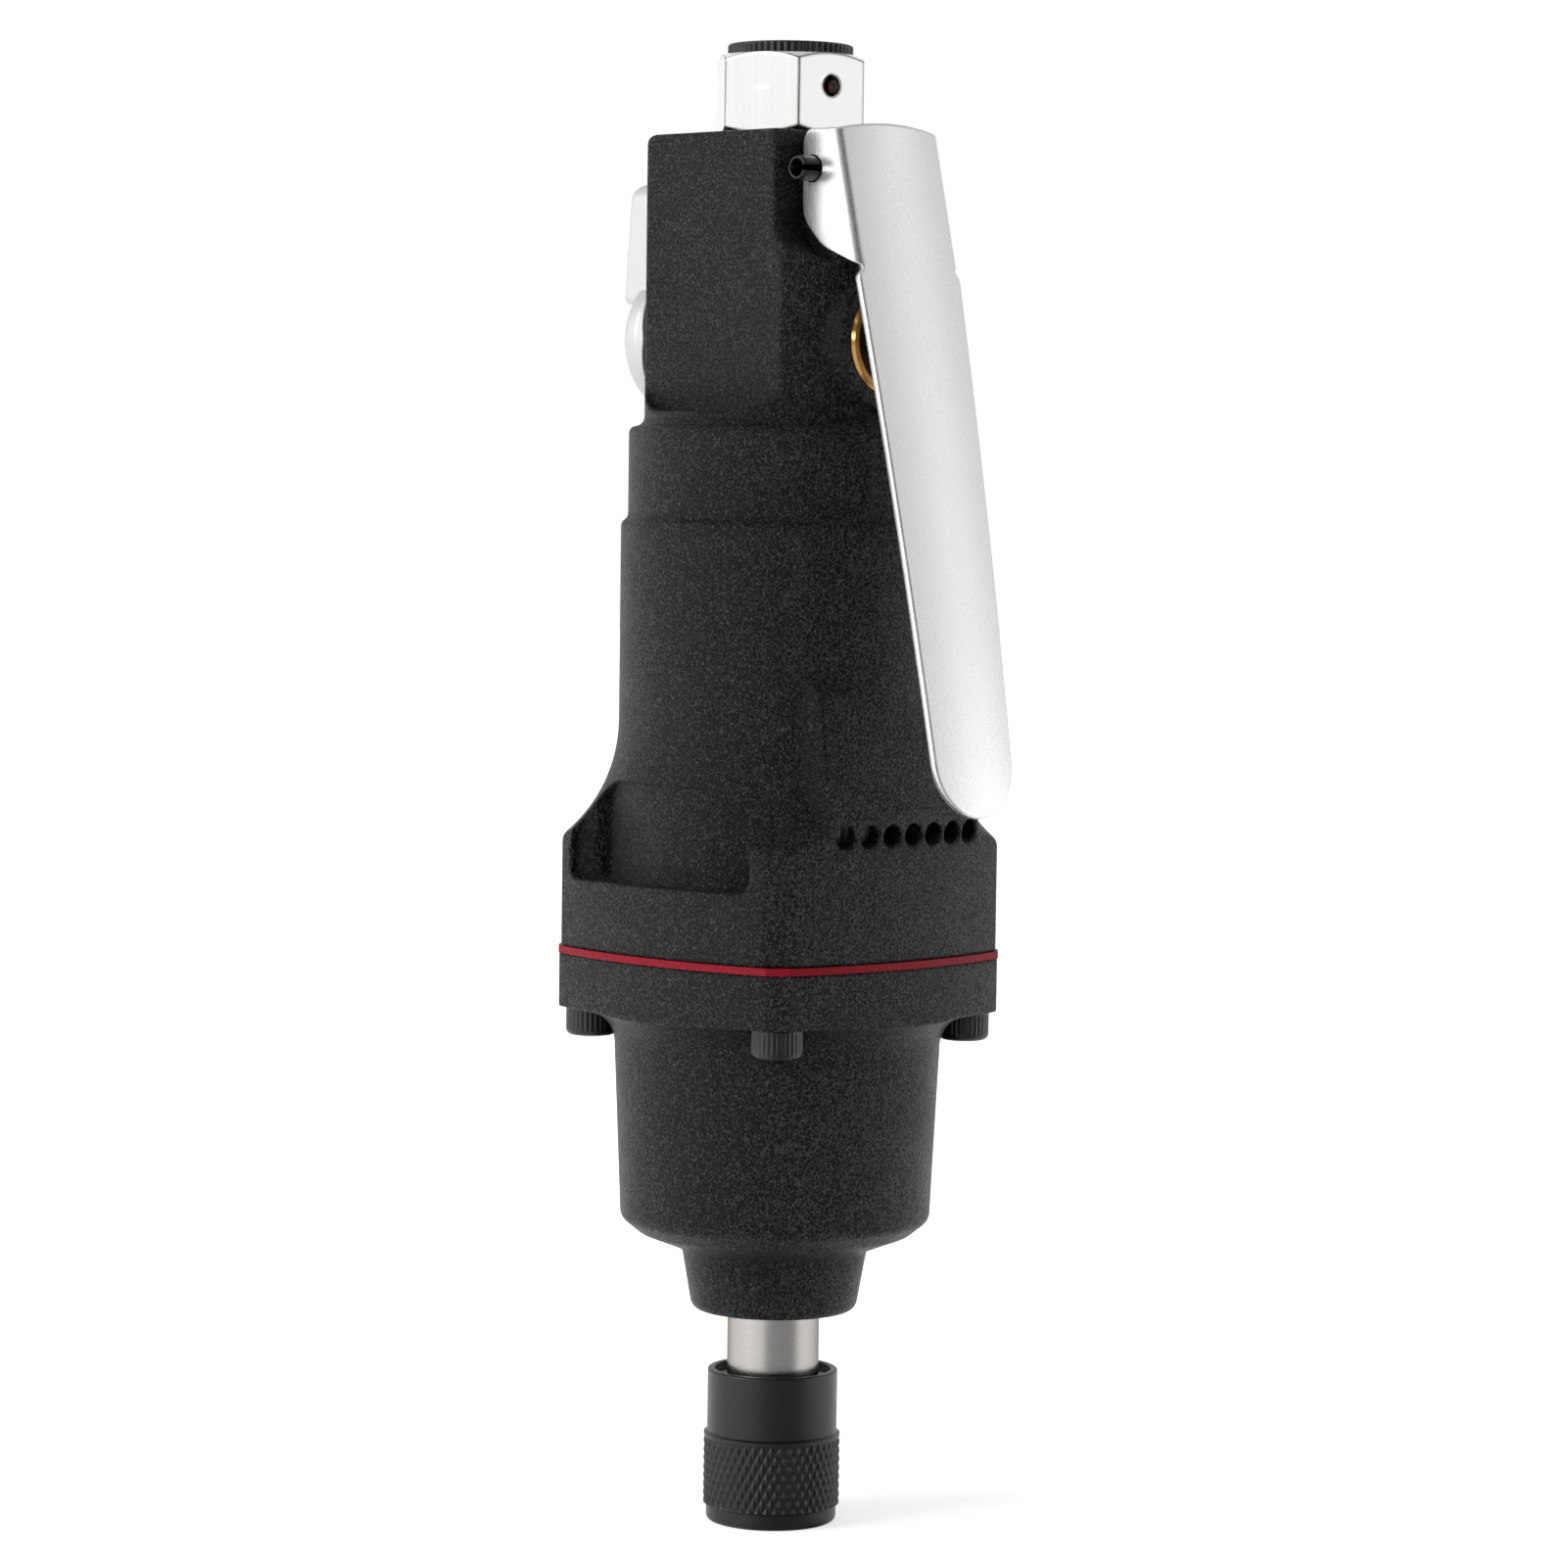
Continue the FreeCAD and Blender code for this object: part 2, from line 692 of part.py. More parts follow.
def air_passages():
    """Inlet socket, screen pocket, drilled passages and the motor's bore."""
    pocket_low = spigot_low - screen_rim - screen_cup_depth - screen_pocket_gap
    feed_z = throttle_z - feed_below_axis
    spool_foot = reverse_z - spool_radius + motor_port_reach
    cuts = [rod(inlet_spigot_radius + thread_clearance, spigot_low - screen_rim, head_top + overshoot),
            rod(screen_pocket_radius, pocket_low, spigot_low),
            rod(inlet_passage_radius, throttle_z, pocket_low + overshoot, inlet_passage_x),
            rod(feed_radius, feed_z, throttle_z - plunger_radius, throttle_port_x),
            rod_x(feed_radius, -feed_rise_x, throttle_port_x, feed_z),
            rod(feed_radius, feed_z, spool_foot, -feed_rise_x),
            rod(bore_radius, housing_low - overshoot, rear_plate_high)]
    for side in (-1, 1):
        cuts.append(rod(motor_port_radius, rear_plate_high - overshoot, spool_foot,
                        -motor_port_x, side * motor_port_y))
    return cuts


def reverse_cuts():
    """Spool bore and its retaining pin's hole, and the tapped holes for the case screws."""
    pin_hole_end = head_flat - retainer_length - thread_clearance
    cuts = [rod_x(spool_radius, -head_radius - overshoot, spool_end_x + seat_clearance, reverse_z),
            rod_y(retainer_radius + thread_clearance, pin_hole_end, head_flat + overshoot, retainer_x,
                  reverse_z + spool_radius)]
    for x, y in screw_places():
        depth = flange_low + screw_length + tap_extra_depth
        cuts.append(rod(screw_radius + thread_clearance, housing_low - overshoot, depth, x, y))
    return cuts


def motor_housing():
    """Cast body: flange, barrel and valve head in one."""
    pocket = flange_pocket()
    flat = head_flat_cut()
    lever_pin_hole = rod_y(pin_radius, -head_radius, head_radius, pin_x, pin_z)
    throttle_boss = rod_x(throttle_boss_radius, machined_wall_x, throttle_face_x, throttle_z)
    form = housing_form().common(flange_prism(housing_low, head_top)).fuse([exhaust_pad(), throttle_boss])
    cuts = [pocket.rotated(CENTRE, ALONG_Z, turn) for turn in (0, 180, -90)]
    cuts += [flat, flat.rotated(CENTRE, ALONG_Z, 180), lever_seat_cut(), lever_pin_hole]
    cuts += exhaust_cuts() + throttle_cuts() + air_passages() + reverse_cuts()
    return form.cut(cuts).removeSplitter()


# ================================================================ hammer case, gasket and screws
def hammer_case():
    """Front casting: nose, rounded shoulder, tapered side and flange, hollow from behind."""
    shoulder_z = case_low + nose_length
    top_of_slope = shoulder_z + shoulder_drop
    widest = case_corner_radius + flange_fillet
    form = turned_rounded(
        ((0, case_low), 0), ((nose_low_radius, case_low), nose_round),
        ((nose_high_radius, shoulder_z), nose_shoulder_round), ((shoulder_radius, top_of_slope), 0),
        ((case_low_radius, top_of_slope + case_foot), case_round),
        ((case_high_radius, flange_low), flange_fillet), ((widest, flange_low), 0), ((widest, joint_face), 0),
        ((0, joint_face), 0))
    form = form.common(flange_prism(case_low, joint_face)).common(rod(case_corner_radius, case_low, joint_face))
    cavity = turned_rounded(
        ((0, cavity_low), 0), ((case_cavity_radius, cavity_low), case_cavity_round),
        ((case_cavity_radius, joint_face + overshoot), 0), ((0, joint_face + overshoot), 0))
    cuts = [cavity,
            rod(bushing_radius, case_low + nose_lip, cavity_low + overshoot),
            rod(anvil_shaft_radius + free_gap, case_low - overshoot, cavity_low)]
    for x, y in screw_places():
        cuts.append(rod(screw_radius + screw_hole_clearance, flange_low - overshoot, joint_face + overshoot,
                        x, y))
        cuts.append(rod(screw_spotface, flange_low - screw_head_height - overshoot, flange_low, x, y))
    return form.cut(cuts).removeSplitter()


def flange_gasket():
    """Flat gasket that stands a little proud of the flange."""
    sheet_form = flange_prism(joint_face, housing_low, gasket_proud)
    sheet_form = sheet_form.common(rod(case_corner_radius + gasket_proud, joint_face, housing_low))
    holes = [rod(screw_radius + screw_hole_clearance, joint_face, housing_low, x, y)
             for x, y in screw_places()]
    return sheet_form.cut([rod(bore_radius + seat_clearance, joint_face, housing_low)] + holes)


def case_screws():
    """Socket-head screws that enter from the front; heads under the case's flange."""
    head_low = flange_low - screw_head_height
    screws = []
    for x, y in screw_places():
        screw = rod(screw_head_radius, head_low, flange_low, x, y)
        screw = screw.fuse(rod(screw_radius, flange_low, flange_low + screw_length, x, y))
        key = hexagon(screw_key_across, head_low, head_low + screw_key_depth)
        key.translate(V(x, y, 0))
        screws.append(screw.cut(key).removeSplitter())
    return Part.makeCompound(screws)


# ================================================================ chuck and anvil
def ball_centre_x():
    inscribed = bit_across_flats / 2 + bit_clearance
    return inscribed - bit_ball_reach + bit_ball_radius


def sleeve_cone():
    """Cam cone of the sleeve that holds the ball in: its slope, and its radius at the ball."""
    slope = bit_ball_travel / sleeve_travel
    reach = (bit_ball_radius + running_clearance) * math.sqrt(1 + slope ** 2)
    return slope, ball_centre_x() + reach


def chuck_sleeve():
    """Sliding sleeve: knurled grip outside; spring chamber, guide bore, ball cam and recess inside."""
    slope, at_ball = sleeve_cone()
    cone_low = bit_ball_height - (at_ball - sleeve_bore_radius) / slope
    cone_high = bit_ball_height + (sleeve_release_radius - at_ball) / slope
    recess_floor = stop_washer_low - running_clearance
    outer = turned_rounded(
        ((0, 0), 0), ((sleeve_front_radius, 0), sleeve_edge), ((sleeve_front_radius, knurl_low), 0),
        ((knurl_radius, knurl_low), knurl_edge), ((knurl_radius, knurl_high), knurl_edge),
        ((sleeve_radius, knurl_high), 0), ((sleeve_radius, chuck_length), sleeve_edge),
        ((0, chuck_length), 0))
    inner = turned(
        (0, -overshoot), (sleeve_chamber_radius, -overshoot), (sleeve_chamber_radius, spring_seat_height),
        (sleeve_bore_radius, spring_seat_height), (sleeve_bore_radius, cone_low),
        (sleeve_release_radius, cone_high), (sleeve_release_radius, recess_floor),
        (sleeve_chamber_radius, recess_floor), (sleeve_chamber_radius, chuck_length + overshoot),
        (0, chuck_length + overshoot))
    return outer.cut(inner)


def anvil():
    """Output shaft: hex socket in the nose, bearing shaft, thrust flange and one dog per hammer."""
    thrust_low = cavity_low + running_clearance
    thrust_high = thrust_low + thrust_flange_length
    journal_high = front_hammer_low - free_gap
    end = cage_rear_low - free_gap
    core = turned_rounded(
        ((0, 0), 0), ((anvil_nose_radius, 0), anvil_end_round), ((anvil_nose_radius, nose_end), 0),
        ((anvil_shaft_radius, nose_end), 0), ((anvil_shaft_radius, thrust_low), 0),
        ((thrust_flange_radius, thrust_low), thrust_flange_round),
        ((thrust_flange_radius, thrust_high), thrust_flange_round), ((anvil_journal_radius, thrust_high), 0),
        ((anvil_journal_radius, journal_high), 0), ((anvil_shaft_radius, journal_high), 0),
        ((anvil_shaft_radius, end), anvil_end_round), ((0, end), 0))
    first = 90 - hammer_dog_angle / 2 - dog_gap_angle - anvil_dog_angle
    dogs = [sector(anvil_dog_radius, first, anvil_dog_angle, front_hammer_low,
                   front_hammer_low + hammer_length),
            sector(anvil_dog_radius, first + 180, anvil_dog_angle, rear_hammer_low,
                   rear_hammer_low + hammer_length)]
    socket = hexagon(bit_across_flats + 2 * bit_clearance, -overshoot, socket_depth)
    drill_radius = bit_across_flats / 2
    drill_point = Part.makeCone(drill_radius, 0, drill_radius, V(0, 0, socket_depth), ALONG_Z)
    groove = tube(anvil_nose_radius + overshoot, anvil_nose_radius - front_ring_groove, front_ring_height,
                  front_ring_height + front_ring_thickness)
    ball_hole = rod_x(bit_ball_radius + running_clearance, 0, anvil_nose_radius + overshoot,
                      bit_ball_height)
    return core.fuse(dogs).cut([socket, drill_point, groove, ball_hole]).removeSplitter()


def front_retaining_ring():
    """Open spring ring in the anvil's front groove."""
    ring = tube(front_ring_radius, anvil_nose_radius - front_ring_groove, front_ring_height,
                front_ring_height + front_ring_thickness)
    half = front_ring_opening / 2
    opening = block(-half, half, -front_ring_radius, 0, front_ring_height,
                    front_ring_height + front_ring_thickness)
    return ring.cut(opening)


def front_washer():
    """Washer that the chuck's spring pushes against."""
    low = front_ring_height + front_ring_thickness
    return tube(sleeve_chamber_radius - free_gap, sleeve_bore_radius, low, low + washer_thickness)


def chuck_spring():
    low = front_ring_height + front_ring_thickness + washer_thickness
    spring = coil(chuck_spring_radius, chuck_spring_wire, spring_seat_height - low, chuck_spring_turns)
    spring.translate(V(0, 0, low))
    return spring


def chuck_stop_washer():
    """Washer in the sleeve's rear recess; stops the sleeve at the shaft's shoulder."""
    return tube(sleeve_chamber_radius - free_gap / 2, sleeve_bore_radius, stop_washer_low, nose_end)


def bit_ball():
    return Part.makeSphere(bit_ball_radius, V(ball_centre_x(), 0, bit_ball_height))


def anvil_bushing():
    return tube(bushing_radius, anvil_shaft_radius + running_clearance,
                case_low + nose_lip + nose_seal_length, cavity_low)


def nose_seal():
    return tube(bushing_radius, anvil_shaft_radius + seal_clearance,
                case_low + nose_lip, case_low + nose_lip + nose_seal_length)


# ================================================================ impact mechanism
def spline(grow, low, high):
    """Splined bar; grow is added all round for the matching hole."""
    root = front_shaft_radius - spline_depth + grow
    outer = front_shaft_radius + grow
    half = spline_tooth_width / 2 + grow
    teeth = around(block(0, outer, -half, half, low, high), spline_teeth)
    return rod(root, low, high).fuse(teeth).common(rod(outer, low, high)).removeSplitter()


def hammer_cage():
    """Two plates joined by two struts; the rear plate has the splined hub."""
    plates = [rod(cage_radius, cage_low, cage_low + cage_plate), rod(cage_radius, cage_rear_low, cage_high),
              rod(cage_hub_radius, cage_rear_low, hub_high)]
    struts = rod(cage_radius, cage_low, cage_high).cut(
        block(-cage_radius, cage_radius, -cage_strut_flat, cage_strut_flat, cage_low, cage_high))
    cuts = [rod(anvil_journal_radius + journal_clearance, cage_low - overshoot,
                cage_low + cage_plate + overshoot),
            spline(journal_clearance, cage_rear_low - overshoot, hub_high + overshoot)]
    for side in (-1, 1):
        cuts.append(rod(hammer_pin_radius, cage_low - overshoot, cage_high + overshoot,
                        side * hammer_pin_offset))
    return plates[0].fuse(plates[1:] + [struts]).cut(cuts).removeSplitter()


def hammer(low, turn):
    """Swinging hammer: pivots on one cage pin, its slot limits it on the other."""
    high = low + hammer_length
    ring = rod(hammer_radius, low, high).cut(rod(hammer_bore, low, high))
    dog = sector(hammer_bore + overshoot, 90 - hammer_dog_angle / 2, hammer_dog_angle, low, high)
    dog = dog.cut(rod(hammer_dog_bore, low, high))
    body = ring.fuse(dog).common(block(-hammer_radius, hammer_radius, -hammer_flat, hammer_flat, low, high))
    slot_radius = hammer_pin_radius + free_gap / 2
    slot = block(-hammer_pin_offset - slot_radius, -hammer_pin_offset + slot_radius,
                 -hammer_rock, hammer_rock, low, high)
    cuts = [rod(hammer_pin_radius + running_clearance, low, high, hammer_pin_offset), slot]
    for side in (-1, 1):
        cuts.append(rod(slot_radius, low, high, -hammer_pin_offset, side * hammer_rock))
    body = body.cut(cuts).removeSplitter()
    body.rotate(CENTRE, ALONG_Z, turn)
    return body


def hammer_pins():
    return Part.makeCompound([rod(hammer_pin_radius, cage_low, cage_high, side * hammer_pin_offset)
                              for side in (-1, 1)])


# ================================================================ vane motor
def front_end_plate():
    """Bearing plate between the hammer mechanism and the motor."""
    plate = rod(liner_radius, joint_face, front_plate_high)
    cuts = [rod(front_bearing_radius + thread_clearance, joint_face - overshoot,
                front_plate_high - plate_web),
            rod(front_shaft_radius + shaft_hole_clearance, joint_face, front_plate_high + overshoot),
            dowel_hole(front_plate_high)]
    return plate.cut(cuts)


def rear_end_plate():
    """Bearing plate with two slots that carry air from the reverse valve to the liner."""
    plate = rod(liner_radius, liner_high, rear_plate_high)
    cuts = [rod(rear_bearing_radius + thread_clearance, liner_high + plate_web,
                rear_plate_high + overshoot),
            rod(rear_shaft_radius + shaft_hole_clearance, liner_high - overshoot, rear_plate_high),
            dowel_hole(liner_high)]
    for side in (-1, 1):
        near = side * motor_port_y
        cuts.append(block(-liner_port_x - motor_port_radius, -motor_port_x + motor_port_radius,
                          near - motor_port_radius, near + motor_port_radius, liner_high - overshoot,
                          rear_plate_high + overshoot))
    return plate.cut(cuts)


def dowel_place():
    return 0, -(liner_bore_radius + liner_radius) / 2


def dowel_hole(level):
    x, y = dowel_place()
    return rod(dowel_radius + thread_clearance, level - dowel_reach, level + dowel_reach, x, y)


def liner_dowels():
    x, y = dowel_place()
    reach = dowel_reach - thread_clearance
    return Part.makeCompound([rod(dowel_radius, level - reach, level + reach, x, y)
                              for level in (front_plate_high, liner_high)])


def motor_liner():
    """Cylinder with an offset bore, exhaust slots on its thin side and two inlet ports."""
    liner = rod(liner_radius, front_plate_high, liner_high)
    exhaust_z = housing_low + exhaust_height
    half_slot = liner_slot_width / 2
    port_low = liner_high - liner_port_depth
    cuts = [rod(liner_bore_radius, front_plate_high - overshoot, liner_high + overshoot, motor_offset),
            dowel_hole(front_plate_high), dowel_hole(liner_high)]
    for k in (-1, 0, 1):
        y = k * liner_slot_pitch
        cuts.append(block(liner_bore_radius, liner_radius + overshoot, y - half_slot, y + half_slot,
                          exhaust_z - exhaust_chamber_height / 2, exhaust_z + exhaust_chamber_height / 2))
    for side in (-1, 1):
        y = side * motor_port_y
        cuts.append(rod(motor_port_radius, port_low, liner_high + overshoot, -liner_port_x, y))
        cuts.append(block(-liner_port_x, motor_offset + overshoot - liner_bore_radius,
                          y - motor_port_radius, y + motor_port_radius, port_low,
                          port_low + liner_port_height))
    return liner.cut(cuts).removeSplitter()


def rotor():
    """Slotted rotor with both shafts and the spline that drives the cage."""
    low = front_plate_high + rotor_side_gap
    high = liner_high - rotor_side_gap
    body = rod(rotor_radius, low, high)
    body = body.fuse([rod(front_shaft_radius, joint_face, low),
                      rod(rear_shaft_radius, high, rear_plate_high - overshoot),
                      spline(0, cage_rear_low + overshoot, joint_face)])
    half = vane_thickness / 2 + vane_clearance
    slot = block(rotor_radius - vane_depth - vane_clearance, rotor_radius + overshoot, -half, half,
                 low - overshoot, high + overshoot)
    return body.cut(around(slot, vane_count)).removeSplitter()


def vanes():
    """Sliding blades, shown home in their slots."""
    low = front_plate_high + rotor_side_gap
    high = liner_high - rotor_side_gap
    half = vane_thickness / 2
    vane = block(rotor_radius - vane_depth, rotor_radius - vane_clearance, -half, half, low, high)
    return Part.makeCompound(around(vane, vane_count))


def bearing(bore, outer, low, high, count):
    """Deep-groove ball bearing: outer race, inner race and balls."""
    section = outer - bore
    race = section * bearing_race_share
    ball = section * bearing_ball_share
    pitch = (bore + outer) / 2
    middle = (low + high) / 2
    groove = torus(pitch, ball + running_clearance, V(0, 0, middle))
    outer_race = tube(outer, outer - race, low, high).cut(groove)
    inner_race = tube(bore + race, bore + thread_clearance, low, high).cut(groove)
    balls = around(Part.makeSphere(ball, V(pitch, 0, middle)), count)
    return outer_race, inner_race, Part.makeCompound(balls)


# ================================================================ throttle
def throttle_bushing():
    """Brass guide and valve seat with a rim at its face, cross-drilled for air."""
    edge_x = throttle_face_x - throttle_bushing_chamfer
    body = rod_x(throttle_bushing_radius, bushing_inner_x, edge_x, throttle_z)
    rim = [rod_x(throttle_rim_radius, throttle_rim_x, edge_x, throttle_z),
           Part.makeCone(throttle_rim_radius, throttle_rim_radius - throttle_bushing_chamfer,
                         throttle_bushing_chamfer, V(edge_x, 0, throttle_z), ALONG_X)]
    port = rod(throttle_bushing_port, throttle_z - throttle_bushing_radius,
               throttle_z + throttle_bushing_radius, throttle_port_x)
    belt_low = throttle_port_x - throttle_bushing_port
    belt_high = throttle_port_x + throttle_bushing_port
    belt_radius = throttle_bushing_radius - throttle_belt_depth
    belt = rod_x(throttle_bushing_radius + overshoot, belt_low, belt_high, throttle_z)
    belt = belt.cut(rod_x(belt_radius, belt_low, belt_high, throttle_z))
    bore = rod_x(plunger_radius + running_clearance, bushing_inner_x - overshoot,
                 throttle_face_x + overshoot, throttle_z)
    mouth = rod_x(throttle_rim_inner, throttle_face_x - throttle_rim_depth, throttle_face_x + overshoot,
                  throttle_z)
    return body.fuse(rim).cut([bore, mouth, port, belt]).removeSplitter()


def throttle_plunger():
    """Push pin from the lever to the valve head, with a waist for the air and a tail for the spring."""
    tip_x = lever_x(throttle_z, sheet + plunger_lever_gap + plunger_radius)
    waist_end = bushing_inner_x + plunger_waist_length
    additions = [rod_x(plunger_waist_radius, plunger_head_x, waist_end, throttle_z),
                 rod_x(plunger_radius, waist_end, tip_x, throttle_z),
                 Part.makeSphere(plunger_radius, V(tip_x, 0, throttle_z)),
                 rod_x(plunger_tail_radius, plunger_back_x - plunger_tail_length, plunger_back_x,
                       throttle_z)]
    head = rod_x(plunger_head_radius, plunger_back_x, plunger_head_x, throttle_z)
    return head.fuse(additions).removeSplitter()


def throttle_seal():
    """O-ring that closes on the bushing's inner face."""
    radius = plunger_head_radius - throttle_seal_wire - throttle_seal_inset
    return torus(radius, throttle_seal_wire, V(plunger_head_x + throttle_seal_wire, 0, throttle_z), ALONG_X)


def throttle_spring():
    """Spring that shuts the valve and lifts the lever."""
    length = plunger_back_x - chamber_end_x
    spring = coil(throttle_spring_radius, throttle_spring_wire, length, throttle_spring_turns)
    return along_x(spring, chamber_end_x, throttle_z)


def lever_arc():
    """Centre and radius of the slightly bowed middle line of the released lever's face."""
    circle = Part.Arc(V(lever_top_x, 0, head_top), V(lever_mid_x, 0, head_top - lever_mid_below_top),
                      V(lever_tip_x, 0, head_top - lever_tip_below_top)).toShape().Curve
    return circle.Center, circle.Radius


def lever_x(height, inset=0.0):
    """X of the middle line of the lever's face at a height, or of a line inset behind it."""
    centre, radius = lever_arc()
    return centre.x + math.sqrt((radius - inset) ** 2 - (height - centre.z) ** 2)


def lever_shell(depth):
    """The lever's bowed and crowned face, carried back to a depth; it runs past the lever's outline."""
    centre, radius = lever_arc()
    middle = V(lever_x(head_top - lever_mid_below_top), 0, head_top - lever_mid_below_top)
    outward = (middle - centre).normalize()
    lengthways = ALONG_Y.cross(outward)
    half_turn = math.asin(lever_tip_below_top / radius)
    ends = [centre + outward * (size * math.cos(half_turn)) + lengthways * (side * size * math.sin(half_turn))
            for size, side in ((radius, -1), (radius, 1), (radius - depth, 1), (radius - depth, -1))]
    edges = [Part.Arc(ends[0], middle, ends[1]).toShape(), Part.makeLine(ends[1], ends[2]),
             Part.Arc(ends[2], middle - outward * depth, ends[3]).toShape(), Part.makeLine(ends[3], ends[0])]
    half_width_turn = math.degrees(math.asin((lever_half_width + overshoot) / lever_crown_radius))
    face = Part.Face(Part.Wire(edges))
    pivot = middle - outward * lever_crown_radius
    face.rotate(pivot, lengthways, -half_width_turn)
    return face.revolve(pivot, lengthways, 2 * half_width_turn)


def lever_front():
    """The lever's front outline, extruded along X: arched top, full width, taper, round tip."""
    top = head_top + lever_above_top
    shoulder = top - lever_edge_drop
    tip = head_top - lever_tip_below_top
    taper = head_top - lever_straight
    face = outline(in_yz, (lever_half_width, shoulder), ((0, top), (-lever_half_width, shoulder)),
                   (-lever_half_width, taper), (-lever_tip_half_width, tip + lever_tip_half_width),
                   ((0, tip), (lever_tip_half_width, tip + lever_tip_half_width)),
                   (lever_half_width, taper))
    return face.extrude(ALONG_X * (lever_tip_x + overshoot))


def throttle_lever():
    """Pressed-steel lever: a crowned plate with two ears on the hinge pin."""
    top = head_top + lever_above_top - lever_edge_drop
    far = head_top - ear_foot_below_top
    fall = ear_foot_slope * (lever_tip_x - ear_back_x)
    ear_face = rounded_outline(in_xz, [
        ((ear_back_x, top), ear_top_corner), ((ear_back_x, far), ear_low_corner),
        ((lever_tip_x, far - fall), 0), ((lever_tip_x, top), 0)])
    ears = both_sides(ear_face, ALONG_Y, lever_half_width)
    room = both_sides(ear_face, ALONG_Y, lever_half_width - sheet)
    ears = ears.cut(room).common(lever_shell(lever_top_x))
    plate = lever_shell(sheet).common(lever_front())
    pin_hole = rod_y(pin_radius + hinge_clearance, -lever_half_width - overshoot,
                     lever_half_width + overshoot, pin_x, pin_z)
    return plate.fuse(ears).cut(pin_hole).removeSplitter()


def lever_pin():
    """Slotted spring pin through the lug and both ears."""
    reach = lever_half_width + pin_proud
    body = rod_y(pin_radius, -reach, reach, pin_x, pin_z)
    bore = rod_y(pin_bore, -reach, reach, pin_x, pin_z)
    slot = block(pin_x, pin_x + pin_radius + overshoot, -reach, reach, pin_z - pin_slot / 2,
                 pin_z + pin_slot / 2)
    return body.cut([bore, slot])


# ================================================================ reverse valve
def reverse_knob():
    """Disc with a hub and a broad finger tab, on the spool's square end."""
    disc_face = rounded_outline(in_xz, [
        ((0, 0), 0), ((knob_radius, 0), 0), ((knob_radius, knob_disc), knob_round), ((0, knob_disc), 0)])
    disc = disc_face.revolve(CENTRE, ALONG_Z, 360)
    disc.rotate(CENTRE, ALONG_Y, -90)
    disc.translate(V(knob_inner_x, 0, reverse_z))
    hub = rod_x(knob_hub_radius, knob_outer_x, knob_inner_x, reverse_z)
    top = reverse_z + knob_tab_height
    foot = reverse_z + knob_tab_foot
    front = rounded_outline(in_yz, [
        ((-knob_tab_low_half_width, foot), knob_round), ((knob_tab_low_half_width, foot), knob_round),
        ((knob_tab_high_half_width, top), knob_tab_top_corner),
        ((-knob_tab_high_half_width, top), knob_tab_top_corner)])
    tab_inner_x = knob_inner_x - knob_tab_inner_gap
    side = rounded_outline(in_xz, [
        ((knob_outer_x, reverse_z), 0), ((tab_inner_x, reverse_z), 0), ((tab_inner_x, top), knob_tab_inner_round),
        ((knob_outer_x, top), knob_tab_outer_round)])
    tab = front.extrude(ALONG_X * knob_outer_x).common(both_sides(side, ALONG_Y, knob_radius))
    half = spool_square / 2 + seat_clearance
    cuts = [block(knob_screw_seat_x + knob_web, knob_inner_x + overshoot, -half, half,
                  reverse_z - half, reverse_z + half),
            rod_x(knob_screw_radius + screw_hole_clearance, knob_outer_x, knob_inner_x, reverse_z),
            rod_x(knob_screw_head_radius + screw_hole_clearance, knob_outer_x - overshoot,
                  knob_screw_seat_x, reverse_z),
            rod_x(detent_ball_radius + running_clearance, knob_outer_x + detent_pocket_end,
                  tab_inner_x + overshoot, reverse_z + detent_height)]
    return disc.fuse([hub, tab]).cut(cuts).removeSplitter()


def reverse_spool():
    """Ported plug that turns in the head; grooves for its seal and retaining pin."""
    radius = spool_radius - running_clearance
    square_end = knob_screw_seat_x + knob_web + seat_clearance
    half = spool_square / 2
    body = rod_x(radius, spool_face_x, spool_end_x, reverse_z)
    body = body.fuse(block(square_end, spool_face_x, -half, half, reverse_z - half, reverse_z + half))
    cuts = []
    grooves = ((retainer_x, retainer_radius + retainer_groove_clearance, radius - retainer_groove_depth),
               (spool_face_x + reverse_seal_from_face, reverse_seal_wire,
                spool_radius - 2 * reverse_seal_wire - seal_clearance))
    for middle, half_width, floor in grooves:
        groove = rod_x(spool_radius, middle - half_width, middle + half_width, reverse_z)
        cuts.append(groove.cut(rod_x(floor, middle - half_width, middle + half_width, reverse_z)))
    cuts.append(block(-feed_rise_x - feed_radius, spool_end_x - spool_end_wall, -feed_radius, feed_radius,
                      reverse_z - spool_radius, reverse_z))
    cuts.append(rod_x(knob_screw_radius + thread_clearance, knob_outer_x,
                      knob_screw_seat_x + knob_screw_length + knob_screw_spare, reverse_z))
    return body.cut(cuts)


def reverse_seal():
    mean = spool_radius - seal_clearance - reverse_seal_wire
    return torus(mean, reverse_seal_wire, V(spool_face_x + reverse_seal_from_face, 0, reverse_z), ALONG_X)


def reverse_knob_screw():
    """Low-head socket screw in the knob's outer face."""
    key = hexagon(knob_screw_key_across, 0, knob_screw_key_depth)
    screw = rod_x(knob_screw_head_radius, knob_outer_x, knob_screw_seat_x, reverse_z)
    screw = screw.fuse(rod_x(knob_screw_radius, knob_screw_seat_x, knob_screw_seat_x + knob_screw_length,
                             reverse_z))
    return screw.cut(along_x(key, knob_outer_x, reverse_z)).removeSplitter()


def reverse_retaining_pin():
    """Cross pin in the spool's groove; lets the spool turn but not come out."""
    return rod_y(retainer_radius, head_flat - retainer_length, head_flat, retainer_x,
                 reverse_z + spool_radius)


def detent_ball():
    return Part.makeSphere(detent_ball_radius, V(detent_ball_x, 0, reverse_z + detent_height))


def detent_spring():
    pocket_end = knob_outer_x + detent_pocket_end
    spring = coil(detent_spring_radius, detent_spring_wire, detent_ball_x - detent_ball_radius - pocket_end,
                  detent_spring_turns)
    return along_x(spring, pocket_end, reverse_z + detent_height)


